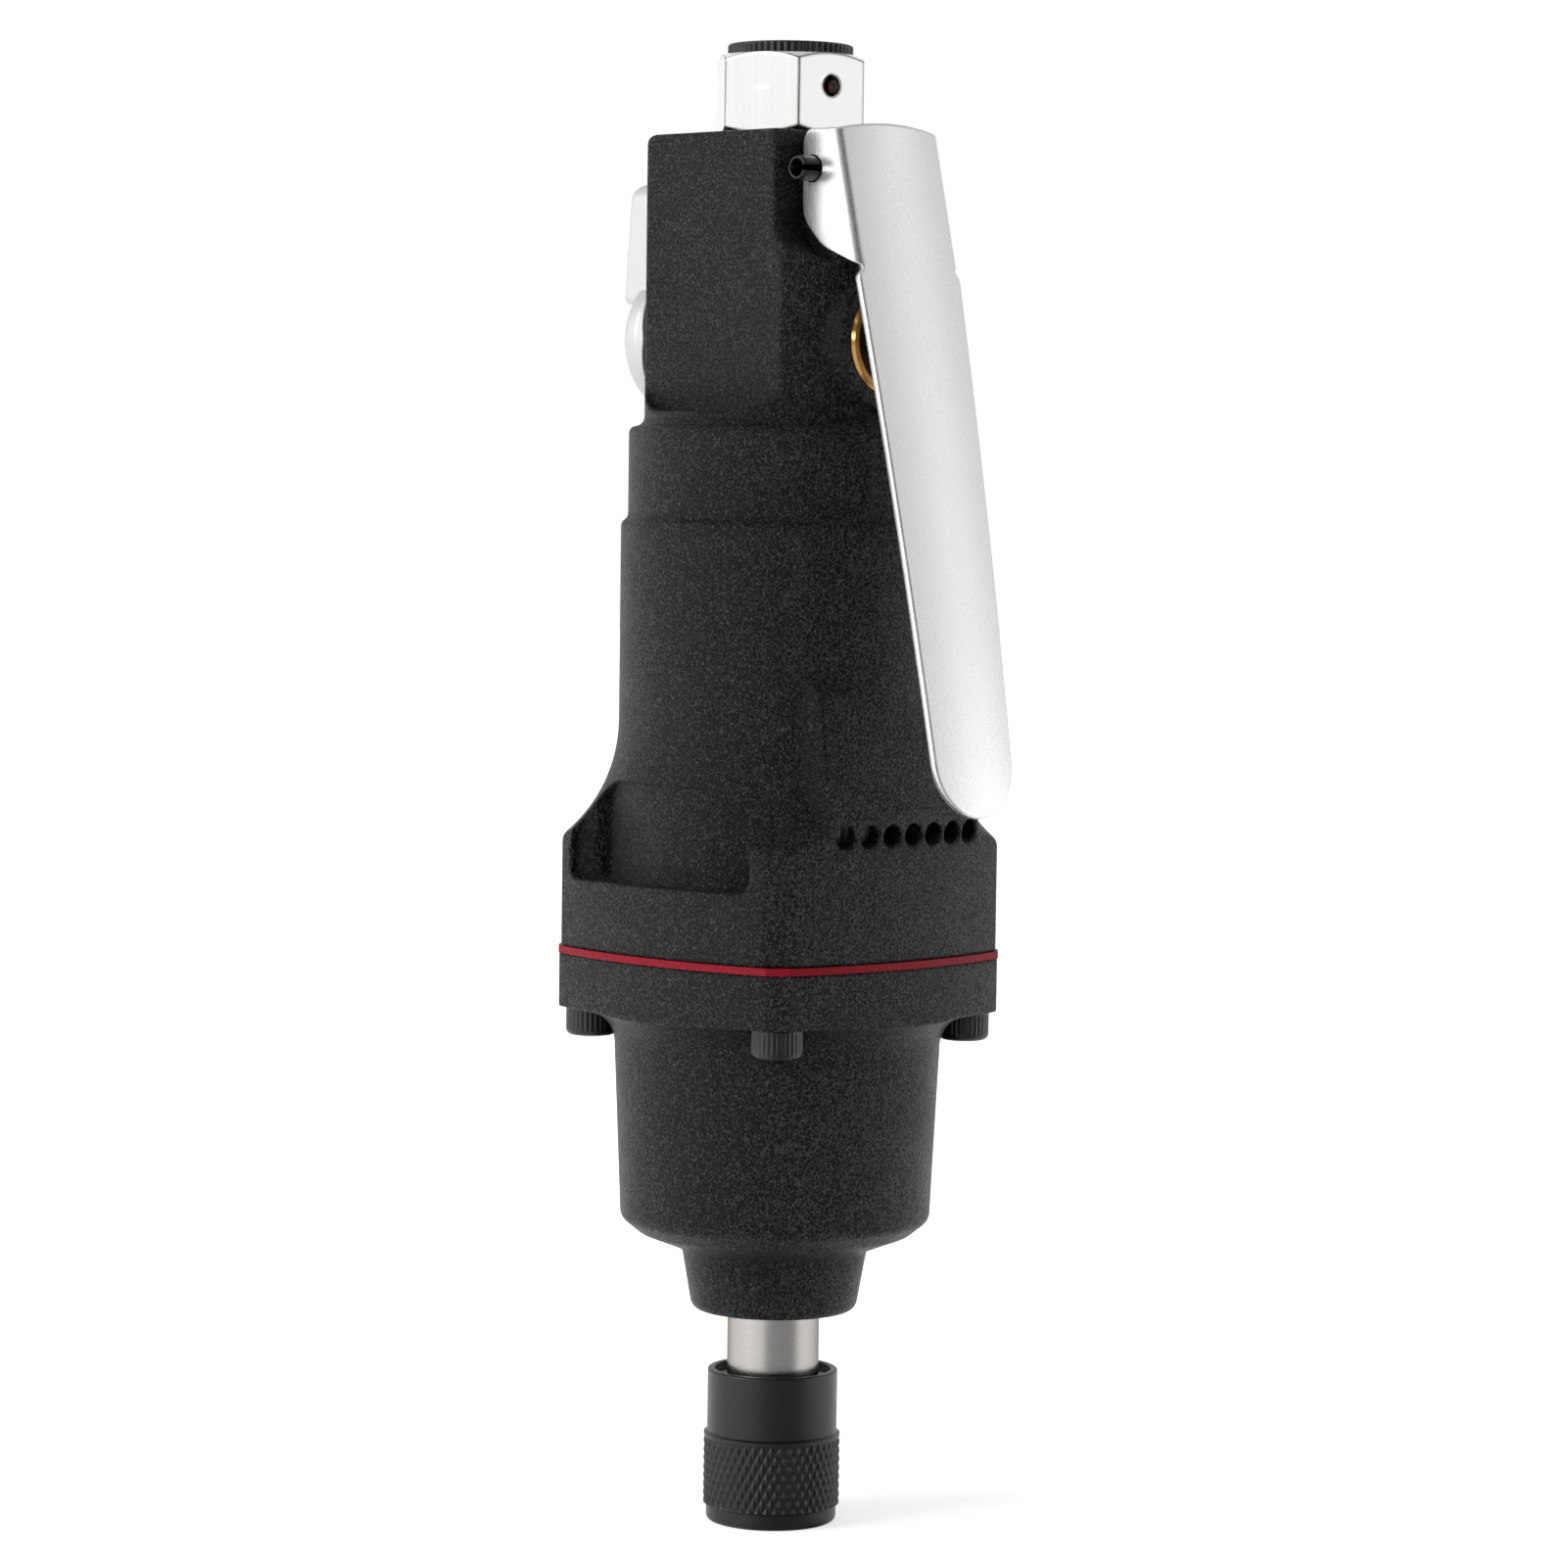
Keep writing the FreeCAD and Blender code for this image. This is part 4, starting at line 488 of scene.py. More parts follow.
def knob_skirt():
    """Skirt inside the knob's rim that follows the round head and clears it over the knob's whole turn."""
    face = high("reverse_knob").x
    axis_z = low("reverse_knob").z + KNOB_RADIUS
    inner = KNOB_RADIUS - KNOB_SKIRT_WALL
    outer = KNOB_RADIUS - KNOB_SKIRT_INSET
    rows = ((inner, False), (outer, False), (outer, True), (inner, True))

    def place(row, column):
        """Point of the skirt: inside the disc, or as deep as the head allows at its angle."""
        radius, deep = rows[row]
        angle = TURN * column / KNOB_SKIRT_COLUMNS
        off = abs((angle + math.pi / 2) % math.pi - math.pi / 2)
        side = inner * math.cos(min(math.pi / 2, off + KNOB_TURN))
        reach = max(face, -math.sqrt(HEAD_RADIUS ** 2 - side ** 2) - KNOB_SKIRT_GAP)
        x = reach if deep else face - KNOB_DISC / 2
        return x, radius * math.cos(angle), axis_z + radius * math.sin(angle)
    mesh = grid(place, len(rows), KNOB_SKIRT_COLUMNS, round_rows=True, round_columns=True)[0]
    bmesh.ops.recalc_face_normals(mesh, faces=mesh.faces)
    data = bpy.data.meshes.new("skirt")
    mesh.to_mesh(data)
    mesh.free()
    return data


CASE_VOXEL, CASE_PASSES = 0.32 * MM, 3      # fineness and smoothing of the black castings
KNOB_VOXEL, KNOB_PASSES = 0.16 * MM, 6      # and of the knob

cast_skin("housing_casting", "motor_housing", "housing", "housing_coat", CASE_VOXEL, CASE_PASSES)
cast_skin("case_casting", "hammer_case", "housing", "case_coat", CASE_VOXEL, CASE_PASSES)
cast_skin("knob_casting", "reverse_knob", "reverse", "knob_silver", KNOB_VOXEL, KNOB_PASSES, knob_skirt())


# ------------------------------------------------------------------ chuck sleeve
KNURL_GROOVES = 48
KNURL_COLUMNS = 10          # columns of faces to each groove
KNURL_DEPTH = 0.3 * MM
KNURL_LEAN = math.tan(math.radians(27))
KNURL_WIDTH = 0.9           # share of the pitch that a groove takes
KNURL_CROSSING = 0.8        # depth of the second set of grooves, as a share of the first
KNURL_LOW = 2.2 * MM        # the thick band's lower and upper ends
KNURL_HIGH = 12.6 * MM
KNURL_LOW_SLOPE = 0.25 * MM
KNURL_HIGH_SLOPE = 0.3 * MM
KNURL_START = 0.4 * MM      # plain part of the band below the knurl
KNURL_PLAIN = 0.9 * MM      # and above it
KNURL_RAMP = 0.2 * MM
SLEEVE_STEP = 0.45 * MM     # knurl's radius outside the plain part
SLEEVE_WALL = 1.0 * MM
SLEEVE_BORE = 6.95 * MM
SLEEVE_RUN = 0.16 * MM      # longest side of a face along the outline
SLEEVE_SEAT = (10.0 * MM, 19.2 * MM)    # from the spring's seat to the floor of the rear recess


def knurled_sleeve():
    """Chuck sleeve with its crossed knurl cut as geometry."""
    top = high("chuck_sleeve").z
    widest = high("chuck_sleeve").x
    plain = widest - SLEEVE_STEP
    inside = plain - SLEEVE_WALL
    seat, recess = SLEEVE_SEAT
    outline = rounded([
        (inside, 0, 0.25 * MM), (plain, 0, 0.7 * MM), (plain, KNURL_LOW, 0),
        (widest, KNURL_LOW + KNURL_LOW_SLOPE, 0), (widest, KNURL_HIGH - KNURL_HIGH_SLOPE, 0),
        (plain, KNURL_HIGH, 0), (plain, top, 0.3 * MM), (inside, top, 0.2 * MM),
        (inside, recess, 0), (SLEEVE_BORE, recess, 0), (SLEEVE_BORE, seat, 0), (inside, seat, 0)])
    pitch = TURN * widest / KNURL_GROOVES

    def knurl(radius, height, angle):
        """Radius of the outside with the crossed grooves cut in; the inside stays."""
        if radius < plain - HAIR:
            return radius
        around = angle * KNURL_GROOVES / TURN
        climb = height * KNURL_LEAN / pitch
        second = KNURL_CROSSING * groove(around + climb, KNURL_WIDTH)
        cut = max(groove(around - climb, KNURL_WIDTH), second)
        band = fade(height, KNURL_LOW + KNURL_START, KNURL_HIGH - KNURL_PLAIN, KNURL_RAMP)
        return radius - KNURL_DEPTH * cut * band
    mesh = turned(divided(outline, SLEEVE_RUN), KNURL_GROOVES * KNURL_COLUMNS, knurl)
    piece_from(mesh, "sleeve_knurled", "sleeve", "black_sleeve", "chuck_sleeve")


knurled_sleeve()


# ------------------------------------------------------------------ case screws
SCREW_RIBS = 30
SCREW_RIB_COLUMNS = 6       # columns of faces to each rib
SCREW_RIB_DEPTH = 0.11 * MM
SCREW_RIB_WIDTH = 0.8       # share of the pitch that the groove between two ribs takes
SCREW_RIM_ROUND = 0.9 * MM
SCREW_RIB_END = 0.4 * MM    # plain part under the seat
SCREW_RIB_RAMP = 0.3 * MM
SCREW_RIB_REACH = 0.3 * MM  # points this near the head's radius belong to its ribbed side
SCREW_HEAD_RADIUS = 3.5 * MM
SCREW_HEAD_HEIGHT = 4.0 * MM
SCREW_SHANK_RADIUS = 2.0 * MM
SCREW_KEY_HALF = 1.5 * MM   # half the socket's width across flats
SCREW_KEY_DEPTH = 2.2 * MM
SCREW_KEY_CHAMFER = 0.15 * MM
SCREW_RUN = 0.35 * MM       # longest side of a face along the outline


def socket_screws():
    """Four socket-head screws, heads down: ribbed sides, rounded rim, hexagon socket."""
    foot, top = low("case_screws").z, high("case_screws").z
    seat = foot + SCREW_HEAD_HEIGHT
    floor = foot + SCREW_KEY_DEPTH
    offset = high("case_screws").x - SCREW_HEAD_RADIUS
    key_corner = SCREW_KEY_HALF / math.cos(math.pi / 6)
    side = rounded([
        (key_corner + SCREW_KEY_CHAMFER, foot, 0), (SCREW_HEAD_RADIUS, foot, SCREW_RIM_ROUND),
        (SCREW_HEAD_RADIUS, seat, 0.15 * MM), (SCREW_SHANK_RADIUS, seat, 0),
        (SCREW_SHANK_RADIUS, top, 0.3 * MM), (0, top, 0), (0, floor, 0), (key_corner, floor, 0),
        (key_corner, foot + SCREW_KEY_CHAMFER, 0)])
    outline = divided(side, SCREW_RUN)
    whole = bmesh.new()

    def ribbed(radius, height, angle):
        """Radius with the socket's six flats inside the head and the ribs outside it."""
        if height < floor + HAIR and radius <= key_corner + HAIR:
            lean = (angle + math.pi / 6) % (math.pi / 3) - math.pi / 6
            return min(radius, SCREW_KEY_HALF / math.cos(lean))
        if radius > SCREW_HEAD_RADIUS - SCREW_RIB_REACH:
            band = fade(height, foot + SCREW_RIM_ROUND, seat - SCREW_RIB_END, SCREW_RIB_RAMP)
            return radius - SCREW_RIB_DEPTH * groove(angle * SCREW_RIBS / TURN, SCREW_RIB_WIDTH) * band
        return radius
    for x in (-offset, offset):
        for y in (-offset, offset):
            one = turned(outline, SCREW_RIBS * SCREW_RIB_COLUMNS, ribbed)
            bmesh.ops.translate(one, verts=one.verts, vec=(x, y, 0))
            data = bpy.data.meshes.new("screw")
            one.to_mesh(data)
            one.free()
            whole.from_mesh(data)
            bpy.data.meshes.remove(data)
    piece_from(whole, "socket_screws", "housing", "black_screw", "case_screws")


socket_screws()


# ------------------------------------------------------------------ inlet swivel
SWIVEL_TEETH = 56
SWIVEL_TOOTH_COLUMNS = 8        # columns of faces to each tooth
SWIVEL_TOOTH_DEPTH = 0.2 * MM
SWIVEL_TOOTH_WIDTH = 0.9        # share of the pitch that the groove between two teeth takes
SWIVEL_TOOTH_REACH = 0.25 * MM  # points this near the collar's radius belong to its toothed side
SWIVEL_TOOTH_RAMP = 0.3 * MM
SWIVEL_RADIUS = 8.0 * MM
SWIVEL_RUN = 0.18 * MM          # longest side of a face along the outline
COLLAR_ROUND = 0.35 * MM
COLLAR_GAP = 0.03 * MM          # between collar and hexagon
SEAL_MIDDLE = 2.4 * MM          # the seal groove's middle above the swivel's tail
SEAL_HALF = 0.75 * MM
SEAL_DEPTH = 1.4 * MM
THREAD_RADIUS = 5.72 * MM
THREAD_DEPTH = 0.55 * MM
THREAD_PITCH = 1.41 * MM
THREAD_LENGTH = 14.0 * MM
THREAD_CHAMFER = 0.8 * MM
THROUGH_RADIUS = 4.6 * MM


def threaded_swivel():
    """Swivel insert: toothed collar above the hexagon, threaded bore."""
    top, tail = high("inlet_swivel").z, low("inlet_swivel").z
    collar = high("inlet_swivel").x
    ledge = high("inlet_bushing").z + COLLAR_GAP
    seal_low, seal_high = tail + SEAL_MIDDLE - SEAL_HALF, tail + SEAL_MIDDLE + SEAL_HALF
    seal_floor = SWIVEL_RADIUS - SEAL_DEPTH
    thread_end = top - THREAD_LENGTH
    outline = rounded([
        (THREAD_RADIUS + THREAD_CHAMFER, top, 0), (collar, top, COLLAR_ROUND), (collar, ledge, 0.1 * MM),
        (SWIVEL_RADIUS, ledge, 0), (SWIVEL_RADIUS, seal_high, 0), (seal_floor, seal_high, 0),
        (seal_floor, seal_low, 0), (SWIVEL_RADIUS, seal_low, 0), (SWIVEL_RADIUS, tail, 0.2 * MM),
        (THROUGH_RADIUS, tail, 0.2 * MM), (THROUGH_RADIUS, thread_end, 0), (THREAD_RADIUS, thread_end, 0),
        (THREAD_RADIUS, top - THREAD_CHAMFER, 0)])

    def cut(radius, height, angle):
        """Radius with the teeth cut into the collar and the thread into the bore."""
        if radius > collar - SWIVEL_TOOTH_REACH and height > ledge - HAIR:
            band = fade(height, ledge, top - COLLAR_ROUND, SWIVEL_TOOTH_RAMP)
            tooth = groove(angle * SWIVEL_TEETH / TURN, SWIVEL_TOOTH_WIDTH)
            return radius - SWIVEL_TOOTH_DEPTH * tooth * band
        if abs(radius - THREAD_RADIUS) < HAIR and height > thread_end + HAIR:
            return radius + THREAD_DEPTH * groove(height / THREAD_PITCH - angle / TURN, 1.0)
        return radius
    mesh = turned(divided(outline, SWIVEL_RUN), SWIVEL_TEETH * SWIVEL_TOOTH_COLUMNS, cut)
    piece_from(mesh, "swivel_threaded", "swivel", "black_swivel", "inlet_swivel")


threaded_swivel()


# ------------------------------------------------------------------ spring pin of the lever
PIN_BORE = 1.2 * MM         # radius
PIN_SLOT = 0.9 * MM
PIN_CHAMFER_WIDE = 0.21 * MM
PIN_CHAMFER_LONG = 0.56 * MM
PIN_COLUMNS = 48
PIN_RUN = 1.0 * MM          # longest side of a face along the pin


def spring_pin():
    """Rolled pin: a tube with a slot along its +X side and chamfered ends."""
    lowest, highest = low("lever_pin"), high("lever_pin")
    radius = (highest.z - lowest.z) / 2
    centre = Vector((lowest.x + radius, 0, (highest.z + lowest.z) / 2))
    end = highest.y
    cone = end - PIN_CHAMFER_LONG
    outline = divided(rounded([
        (PIN_BORE, -end, 0.1 * MM), (radius - PIN_CHAMFER_WIDE, -end, 0.08 * MM),
        (radius, -cone, 0.3 * MM), (radius, cone, 0.3 * MM),
        (radius - PIN_CHAMFER_WIDE, end, 0.08 * MM), (PIN_BORE, end, 0.1 * MM)], steps=3), PIN_RUN)
    gap = math.asin(PIN_SLOT / 2 / radius)

    def place(row, column):
        """Point of the outline, turned about the pin's axis from one side of the slot to the other."""
        size, along_pin = outline[row]
        angle = gap + (TURN - 2 * gap) * column / (PIN_COLUMNS - 1)
        return centre + Vector((size * math.cos(angle), along_pin, size * math.sin(angle)))
    mesh, points = grid(place, len(outline), PIN_COLUMNS, round_rows=True)
    for column in (0, PIN_COLUMNS - 1):
        mesh.faces.new([row[column] for row in points])
    piece_from(mesh, "spring_pin", "housing", "black_pin", "lever_pin")


spring_pin()


# ------------------------------------------------------------------ throttle lever
SHEET = 1.2 * MM
LEVER_HALF_WIDTH = 9.9 * MM
LEVER_TIP_HALF_WIDTH = 7.6 * MM
LEVER_STRAIGHT = 19.0 * MM      # full width from the head's top down to here
LEVER_ABOVE_TOP = 1.1 * MM      # middle of the arched upper edge over the head's top
LEVER_EDGE_DROP = 1.0 * MM      # and its ends below its middle
LEVER_PROFILE = ((19.5 * MM, 0.0), (30.1 * MM, 48.2 * MM), (38.0 * MM, 91.5 * MM))  # x, below the head's top
CROWN_RADIUS = 70 * MM
FOLD_RADIUS = 1.4 * MM
EAR_TOP_CORNER = 2.0 * MM
EAR_BACK_EDGE = (               # mm below the head's top, x in mm
    (10.4, 12.4), (12.0, 12.8), (13.8, 14.3), (15.9, 16.5),
    (16.4, 18.0), (17.1, 20.2), (18.1, 22.2), (19.2, 26.0))
EAR_EDGE_EASE = 0.35            # mm between the places whose mean eases its corners
EAR_JOINS = 18.5 * MM           # lower end of the ears below the head's top
EAR_JOIN_ROUND = 0.6 * MM
EAR_FADE = 2 * MM               # the ears' outline is worked out down to this far below their join
FOLD_START = 1.5 * MM           # the sides begin to turn this far below the join
FOLD_RUN = 2 * MM               # and stand at right angles to the plate this much higher
EDGE_ROUND = 0.35 * MM
EDGE_STEPS = (1.0, 0.6, 0.3, 0.1, 0.0)  # rows of points in a rounded edge, as shares of its radius
RELIEF_DEPTH = 0.9 * MM         # notch between plate and ear
RELIEF_HEIGHT = 0.6 * MM
ARCH_HEIGHT = 8 * MM            # the upper edge's arch fades out over this height
TIP_ROWS = 23
TIP_ROW_DEGREES = 4
ROW_HEIGHT = 0.9 * MM
EAR_ROW_HEIGHT = 0.22 * MM
EAR_ROWS_FROM = 3 * MM          # the close rows begin this far below the join
TOP_ROWS_FROM = 0.5 * MM
PLATE_COLUMNS = 70              # on each side of the middle
PIN_HOLE = 1.85 * MM            # radius
PIN_HOLE_COLUMNS = 64


def circle_through(one, two, three):
    """Centre and radius of the circle through three points of a plane."""
    a, b, c = (Vector(point) for point in (one, two, three))
    determinant = 2 * (a.x * (b.y - c.y) + b.x * (c.y - a.y) + c.x * (a.y - b.y))
    x = (a.dot(a) * (b.y - c.y) + b.dot(b) * (c.y - a.y) + c.dot(c) * (a.y - b.y)) / determinant
    y = (a.dot(a) * (c.x - b.x) + b.dot(b) * (a.x - c.x) + c.dot(c) * (b.x - a.x)) / determinant
    centre = Vector((x, y))
    return centre, (a - centre).length


def along(line, place):
    """Value at a place of a line given by (place, value) points."""
    if place <= line[0][0]:
        return line[0][1]
    for (start, first), (end, last) in zip(line, line[1:]):
        if place <= end:
            return first + (last - first) * (place - start) / (end - start)
    return line[-1][1] + (place - line[-1][0]) * (line[-1][1] - line[-2][1]) / (line[-1][0] - line[-2][0])


class Pressing:
    """The lever's sheet: where a point of its flat blank goes once it is bowed, crowned and folded."""

    def __init__(self):
        self.head_top = high("motor_housing").z
        self.centre, self.radius = circle_through(*((x, self.head_top - fall) for x, fall in LEVER_PROFILE))
        self.tip = self.head_top - LEVER_PROFILE[-1][1]
        self.top = self.head_top + LEVER_ABOVE_TOP - LEVER_EDGE_DROP
        fold_side = (LEVER_HALF_WIDTH - FOLD_RADIUS) / (1 - FOLD_RADIUS / CROWN_RADIUS)
        self.crown_turn = math.asin(fold_side / CROWN_RADIUS)
        self.crown_width = CROWN_RADIUS * self.crown_turn
        self.fold_end = self.crown_width + FOLD_RADIUS * (math.pi / 2 - self.crown_turn)
        self.fold_back = (CROWN_RADIUS * (1 - math.cos(self.crown_turn))
                          + FOLD_RADIUS * math.cos(self.crown_turn))
        self.ear_joins = self.head_top - EAR_JOINS

    def middle_x(self, height):
        """Where the middle of the bowed face stands at a height."""
        return self.centre.x + math.sqrt(self.radius ** 2 - (height - self.centre.y) ** 2)

    def half_width(self, height):
        """Half the plate's width at a height, without the ears."""
        tip_centre = self.tip + LEVER_TIP_HALF_WIDTH
        if height < tip_centre:
            return math.sqrt(max(0.0, LEVER_TIP_HALF_WIDTH ** 2 - (tip_centre - height) ** 2))
        taper_top = self.head_top - LEVER_STRAIGHT
        share = min(1.0, (height - tip_centre) / (taper_top - tip_centre))
        return LEVER_TIP_HALF_WIDTH + share * (LEVER_HALF_WIDTH - LEVER_TIP_HALF_WIDTH)

    def ear_edge(self, height):
        """How far out the ears' back edge stands at a height."""
        drop = (self.head_top - height) / MM
        places = [along(EAR_BACK_EDGE, drop + step * EAR_EDGE_EASE) for step in (-2, -1, 0, 1, 2)]
        return sum(places) / len(places) * MM

    def reach(self, height):
        """Half the width of the flat blank at a height."""
        plate = CROWN_RADIUS * math.asin(self.half_width(height) / CROWN_RADIUS)
        if height < self.ear_joins - EAR_FADE:
            return plate
        edge = self.ear_edge(height)
        corner = max(0.0, EAR_TOP_CORNER - (self.top - height))
        edge += EAR_TOP_CORNER - math.sqrt(EAR_TOP_CORNER ** 2 - corner ** 2)
        ear = self.fold_end + self.middle_x(height) - edge - self.fold_back
        width = (plate + ear + math.hypot(plate - ear, EAR_JOIN_ROUND)) / 2
        relief = math.exp(-((height - self.ear_joins) / RELIEF_HEIGHT) ** 2)
        return width - RELIEF_DEPTH * relief

    def folded(self, height):
        """How far the side has turned into an ear at a height, from 0 to 1."""
        share = max(0.0, min(1.0, (height - self.ear_joins + FOLD_START) / FOLD_RUN))
        return share * share * (3 - 2 * share)

    def point(self, across, height, depth):
        """Place of a point of the blank: signed distance across, height, depth in the sheet."""
        flat, side = abs(across), math.copysign(1, across)
        turn = flat / CROWN_RADIUS
        y, back = CROWN_RADIUS * math.sin(turn), CROWN_RADIUS * (1 - math.cos(turn))
        share = self.folded(height)
        if flat > self.crown_width and share > 0:
            if flat < self.fold_end:
                fold_turn = self.crown_turn + (flat - self.crown_width) / FOLD_RADIUS
                fold_y = LEVER_HALF_WIDTH - FOLD_RADIUS * (1 - math.sin(fold_turn))
                fold_back = self.fold_back - FOLD_RADIUS * math.cos(fold_turn)
            else:
                fold_turn = math.pi / 2
                fold_y = LEVER_HALF_WIDTH
                fold_back = self.fold_back + flat - self.fold_end
            y += share * (fold_y - y)
            back += share * (fold_back - back)
            turn += share * (fold_turn - turn)
        lean = math.asin((height - self.centre.y) / self.radius)
        normal = Vector((math.cos(turn) * math.cos(lean), side * math.sin(turn),
                         math.cos(turn) * math.sin(lean)))
        arch = 1 - min(1.0, flat / LEVER_HALF_WIDTH) ** 2
        lift = LEVER_EDGE_DROP * arch * max(0.0, 1 - (self.top - height) / ARCH_HEIGHT) ** 2
        place = Vector((self.middle_x(height) - back, side * y, height + lift))
        return place - normal * depth

    def rim_sink(self, across, height):
        """How far both faces of the sheet sink near its edge, which rounds the edge."""
        tip_centre = self.tip + LEVER_TIP_HALF_WIDTH
        if height < tip_centre:
            distance = LEVER_TIP_HALF_WIDTH - math.hypot(across, tip_centre - height)
        else:
            distance = min(self.reach(height) - abs(across), self.top - height)
        inside = EDGE_ROUND - min(EDGE_ROUND, max(0.0, distance))
        return EDGE_ROUND - math.sqrt(EDGE_ROUND ** 2 - inside ** 2)


def lever_heights(pressing):
    """Heights of the rows of points, close together where the outline turns."""
    tip_turns = [math.radians(TIP_ROW_DEGREES * step) for step in range(TIP_ROWS)]
    heights = [pressing.tip + LEVER_TIP_HALF_WIDTH * (1 - math.cos(turn)) for turn in tip_turns]
    while heights[-1] < pressing.ear_joins - EAR_ROWS_FROM:
        heights.append(heights[-1] + ROW_HEIGHT)
    while heights[-1] < pressing.top - TOP_ROWS_FROM:
        heights.append(heights[-1] + EAR_ROW_HEIGHT)
    return heights + [pressing.top - step * EDGE_ROUND for step in EDGE_STEPS]


def pressed_lever():
    """Lever bent from one sheet: bowed and crowned face, rounded folds, two ears, soft edges."""
    pressing = Pressing()
    heights = lever_heights(pressing)

    def spread(height):
        """Signed distances across the blank of one row of points."""
        reach = pressing.reach(height)
        plain = max(0.0, reach - EDGE_ROUND)
        widths = [plain * step / PLATE_COLUMNS for step in range(PLATE_COLUMNS)]
        widths += [max(0.0, reach - step * EDGE_ROUND) for step in EDGE_STEPS]
        return [-width for width in reversed(widths[1:])] + widths
    rows = [spread(height) for height in heights]
    count = len(rows[0])

    def place(row, column):
        """Point of the outer face in the first half of the columns, of the inner face on the way back."""
        across = rows[row][column if column < count else 2 * count - 1 - column]
        sink = pressing.rim_sink(across, heights[row])
        return pressing.point(across, heights[row], sink if column < count else SHEET - sink)
    mesh, points = grid(place, len(heights), 2 * count, round_columns=True)
    outer, inner = points[-1][:count], points[-1][:count - 1:-1]
    for column in range(count - 1):
        mesh.faces.new((outer[column], outer[column + 1], inner[column + 1], inner[column]))
    lever = piece_from(mesh, "lever_pressing", "lever", "lever_chrome", "throttle_lever")
    drill(lever)


def drill(lever):
    """Bore the pin's hole through both ears."""
    pin_low, pin_high = low("lever_pin"), high("lever_pin")
    x, z = pin_low.x + (pin_high.z - pin_low.z) / 2, (pin_low.z + pin_high.z) / 2
    ends = (-2 * LEVER_HALF_WIDTH, 2 * LEVER_HALF_WIDTH)

    def place(row, column):
        """Point of the drill's rim, beyond one ear or the other."""
        turn = TURN * column / PIN_HOLE_COLUMNS
        return x + PIN_HOLE * math.cos(turn), ends[row], z + PIN_HOLE * math.sin(turn)
    mesh, points = grid(place, len(ends), PIN_HOLE_COLUMNS, round_columns=True)
    for ring in points:
        mesh.faces.new(ring)
    carve(lever, mesh)


def carve(piece, cutter_mesh):
    """Take a closed form out of a piece."""
    bmesh.ops.recalc_face_normals(cutter_mesh, faces=cutter_mesh.faces)
    data = bpy.data.meshes.new("cutter")
    cutter_mesh.to_mesh(data)
    cutter_mesh.free()
    cutter = bpy.data.objects.new("cutter", data)
    scene.collection.objects.link(cutter)
    cut = piece.modifiers.new("cut", "BOOLEAN")
    cut.operation = "DIFFERENCE"
    cut.object = cutter
    graph = bpy.context.evaluated_depsgraph_get()
    carved = bpy.data.meshes.new_from_object(piece.evaluated_get(graph))
    piece.modifiers.clear()
    piece.data = carved
    shade(carved)
    bpy.data.objects.remove(cutter)


pressed_lever()


# ------------------------------------------------------------------ inlet hexagon
HEX_HALF = 9.5 * MM             # half the distance across its flats
HEX_CHAMFER = math.tan(math.radians(30))
HEX_CHAMFER_INSIDE = 0.15 * MM  # the chamfer begins this far inside the flats
HEX_CREASE = math.radians(18)
HEX_CUT_COLUMNS = 180
HEX_CUT_BEYOND = 0.01 * MM      # the cutting ring stands out past the hexagon's end by this


def chamfered_hexagon():
    """Inlet bushing with the full chamfers at both ends of its hexagon."""
    data = nodes["inlet_bushing"].data.copy()
    if "custom_normal" in data.attributes:
        data.attributes.remove(data.attributes["custom_normal"])
    hexagon = place_piece(data, "hexagon_plated", "housing", "bright_hex", "inlet_bushing")
    reach = 2 * HEX_HALF
    start = HEX_HALF - HEX_CHAMFER_INSIDE
    for level, side in ((high("motor_housing").z, 1), (high("inlet_bushing").z, -1)):
        outside = level - side * HEX_CUT_BEYOND
        rise = side * (reach - start) * HEX_CHAMFER
        wedge = [Vector((start, outside)), Vector((reach, outside)), Vector((reach, level + rise))]
        carve(hexagon, turned(wedge, HEX_CUT_COLUMNS))
    hexagon.data.set_sharp_from_angle(angle=HEX_CREASE)


chamfered_hexagon()


# ================================================================== finishes on the CAD's own pieces
UNDER_GREASE = {"swivel_balls": "greased_steel"}    # seen through the hexagon's filling hole

for name, node in nodes.items():
    slots = [material.name for material in node.data.materials if material]
    for index, slot in enumerate(slots):
        node.data.materials[index] = FINISHES[UNDER_GREASE.get(name, slot)]


# ================================================================== camera
CAMERA_DISTANCE = 671 * MM      # from the tool's axis, level
CAMERA_HEIGHT = 144.7 * MM
CAMERA_AZIMUTH = math.radians(45)
CAMERA_PITCH = math.radians(3.576)
CAMERA_ROLL = math.radians(0.79)
CAMERA_YAW = math.radians(0.04)
SENSOR = 36.0                   # millimetres, as the lens
FOCAL = 111.53
TO_CAMERA = Vector((math.sin(CAMERA_AZIMUTH), -math.cos(CAMERA_AZIMUTH), 0))


def make_camera():
    """Camera in front of the corner between -Y and +X, at the height of the barrel, tipped a little."""
    place = TO_CAMERA * CAMERA_DISTANCE + Vector((0, 0, CAMERA_HEIGHT))
    turn = Matrix.Rotation(-CAMERA_YAW, 3, "Z")
    forward = turn @ (-TO_CAMERA * math.cos(CAMERA_PITCH) - Vector((0, 0, math.sin(CAMERA_PITCH))))
    right = forward.cross(Vector((0, 0, 1))).normalized()
    up = right.cross(forward)
    right_rolled = right * math.cos(CAMERA_ROLL) + up * math.sin(CAMERA_ROLL)
    up_rolled = up * math.cos(CAMERA_ROLL) - right * math.sin(CAMERA_ROLL)
    data = bpy.data.cameras.new("camera")
    data.sensor_width = SENSOR
    data.lens = FOCAL
    camera = bpy.data.objects.new("camera", data)
    basis = Matrix((right_rolled, up_rolled, -forward)).transposed()
    camera.matrix_world = Matrix.Translation(place) @ basis.to_4x4()
    scene.collection.objects.link(camera)
    scene.camera = camera


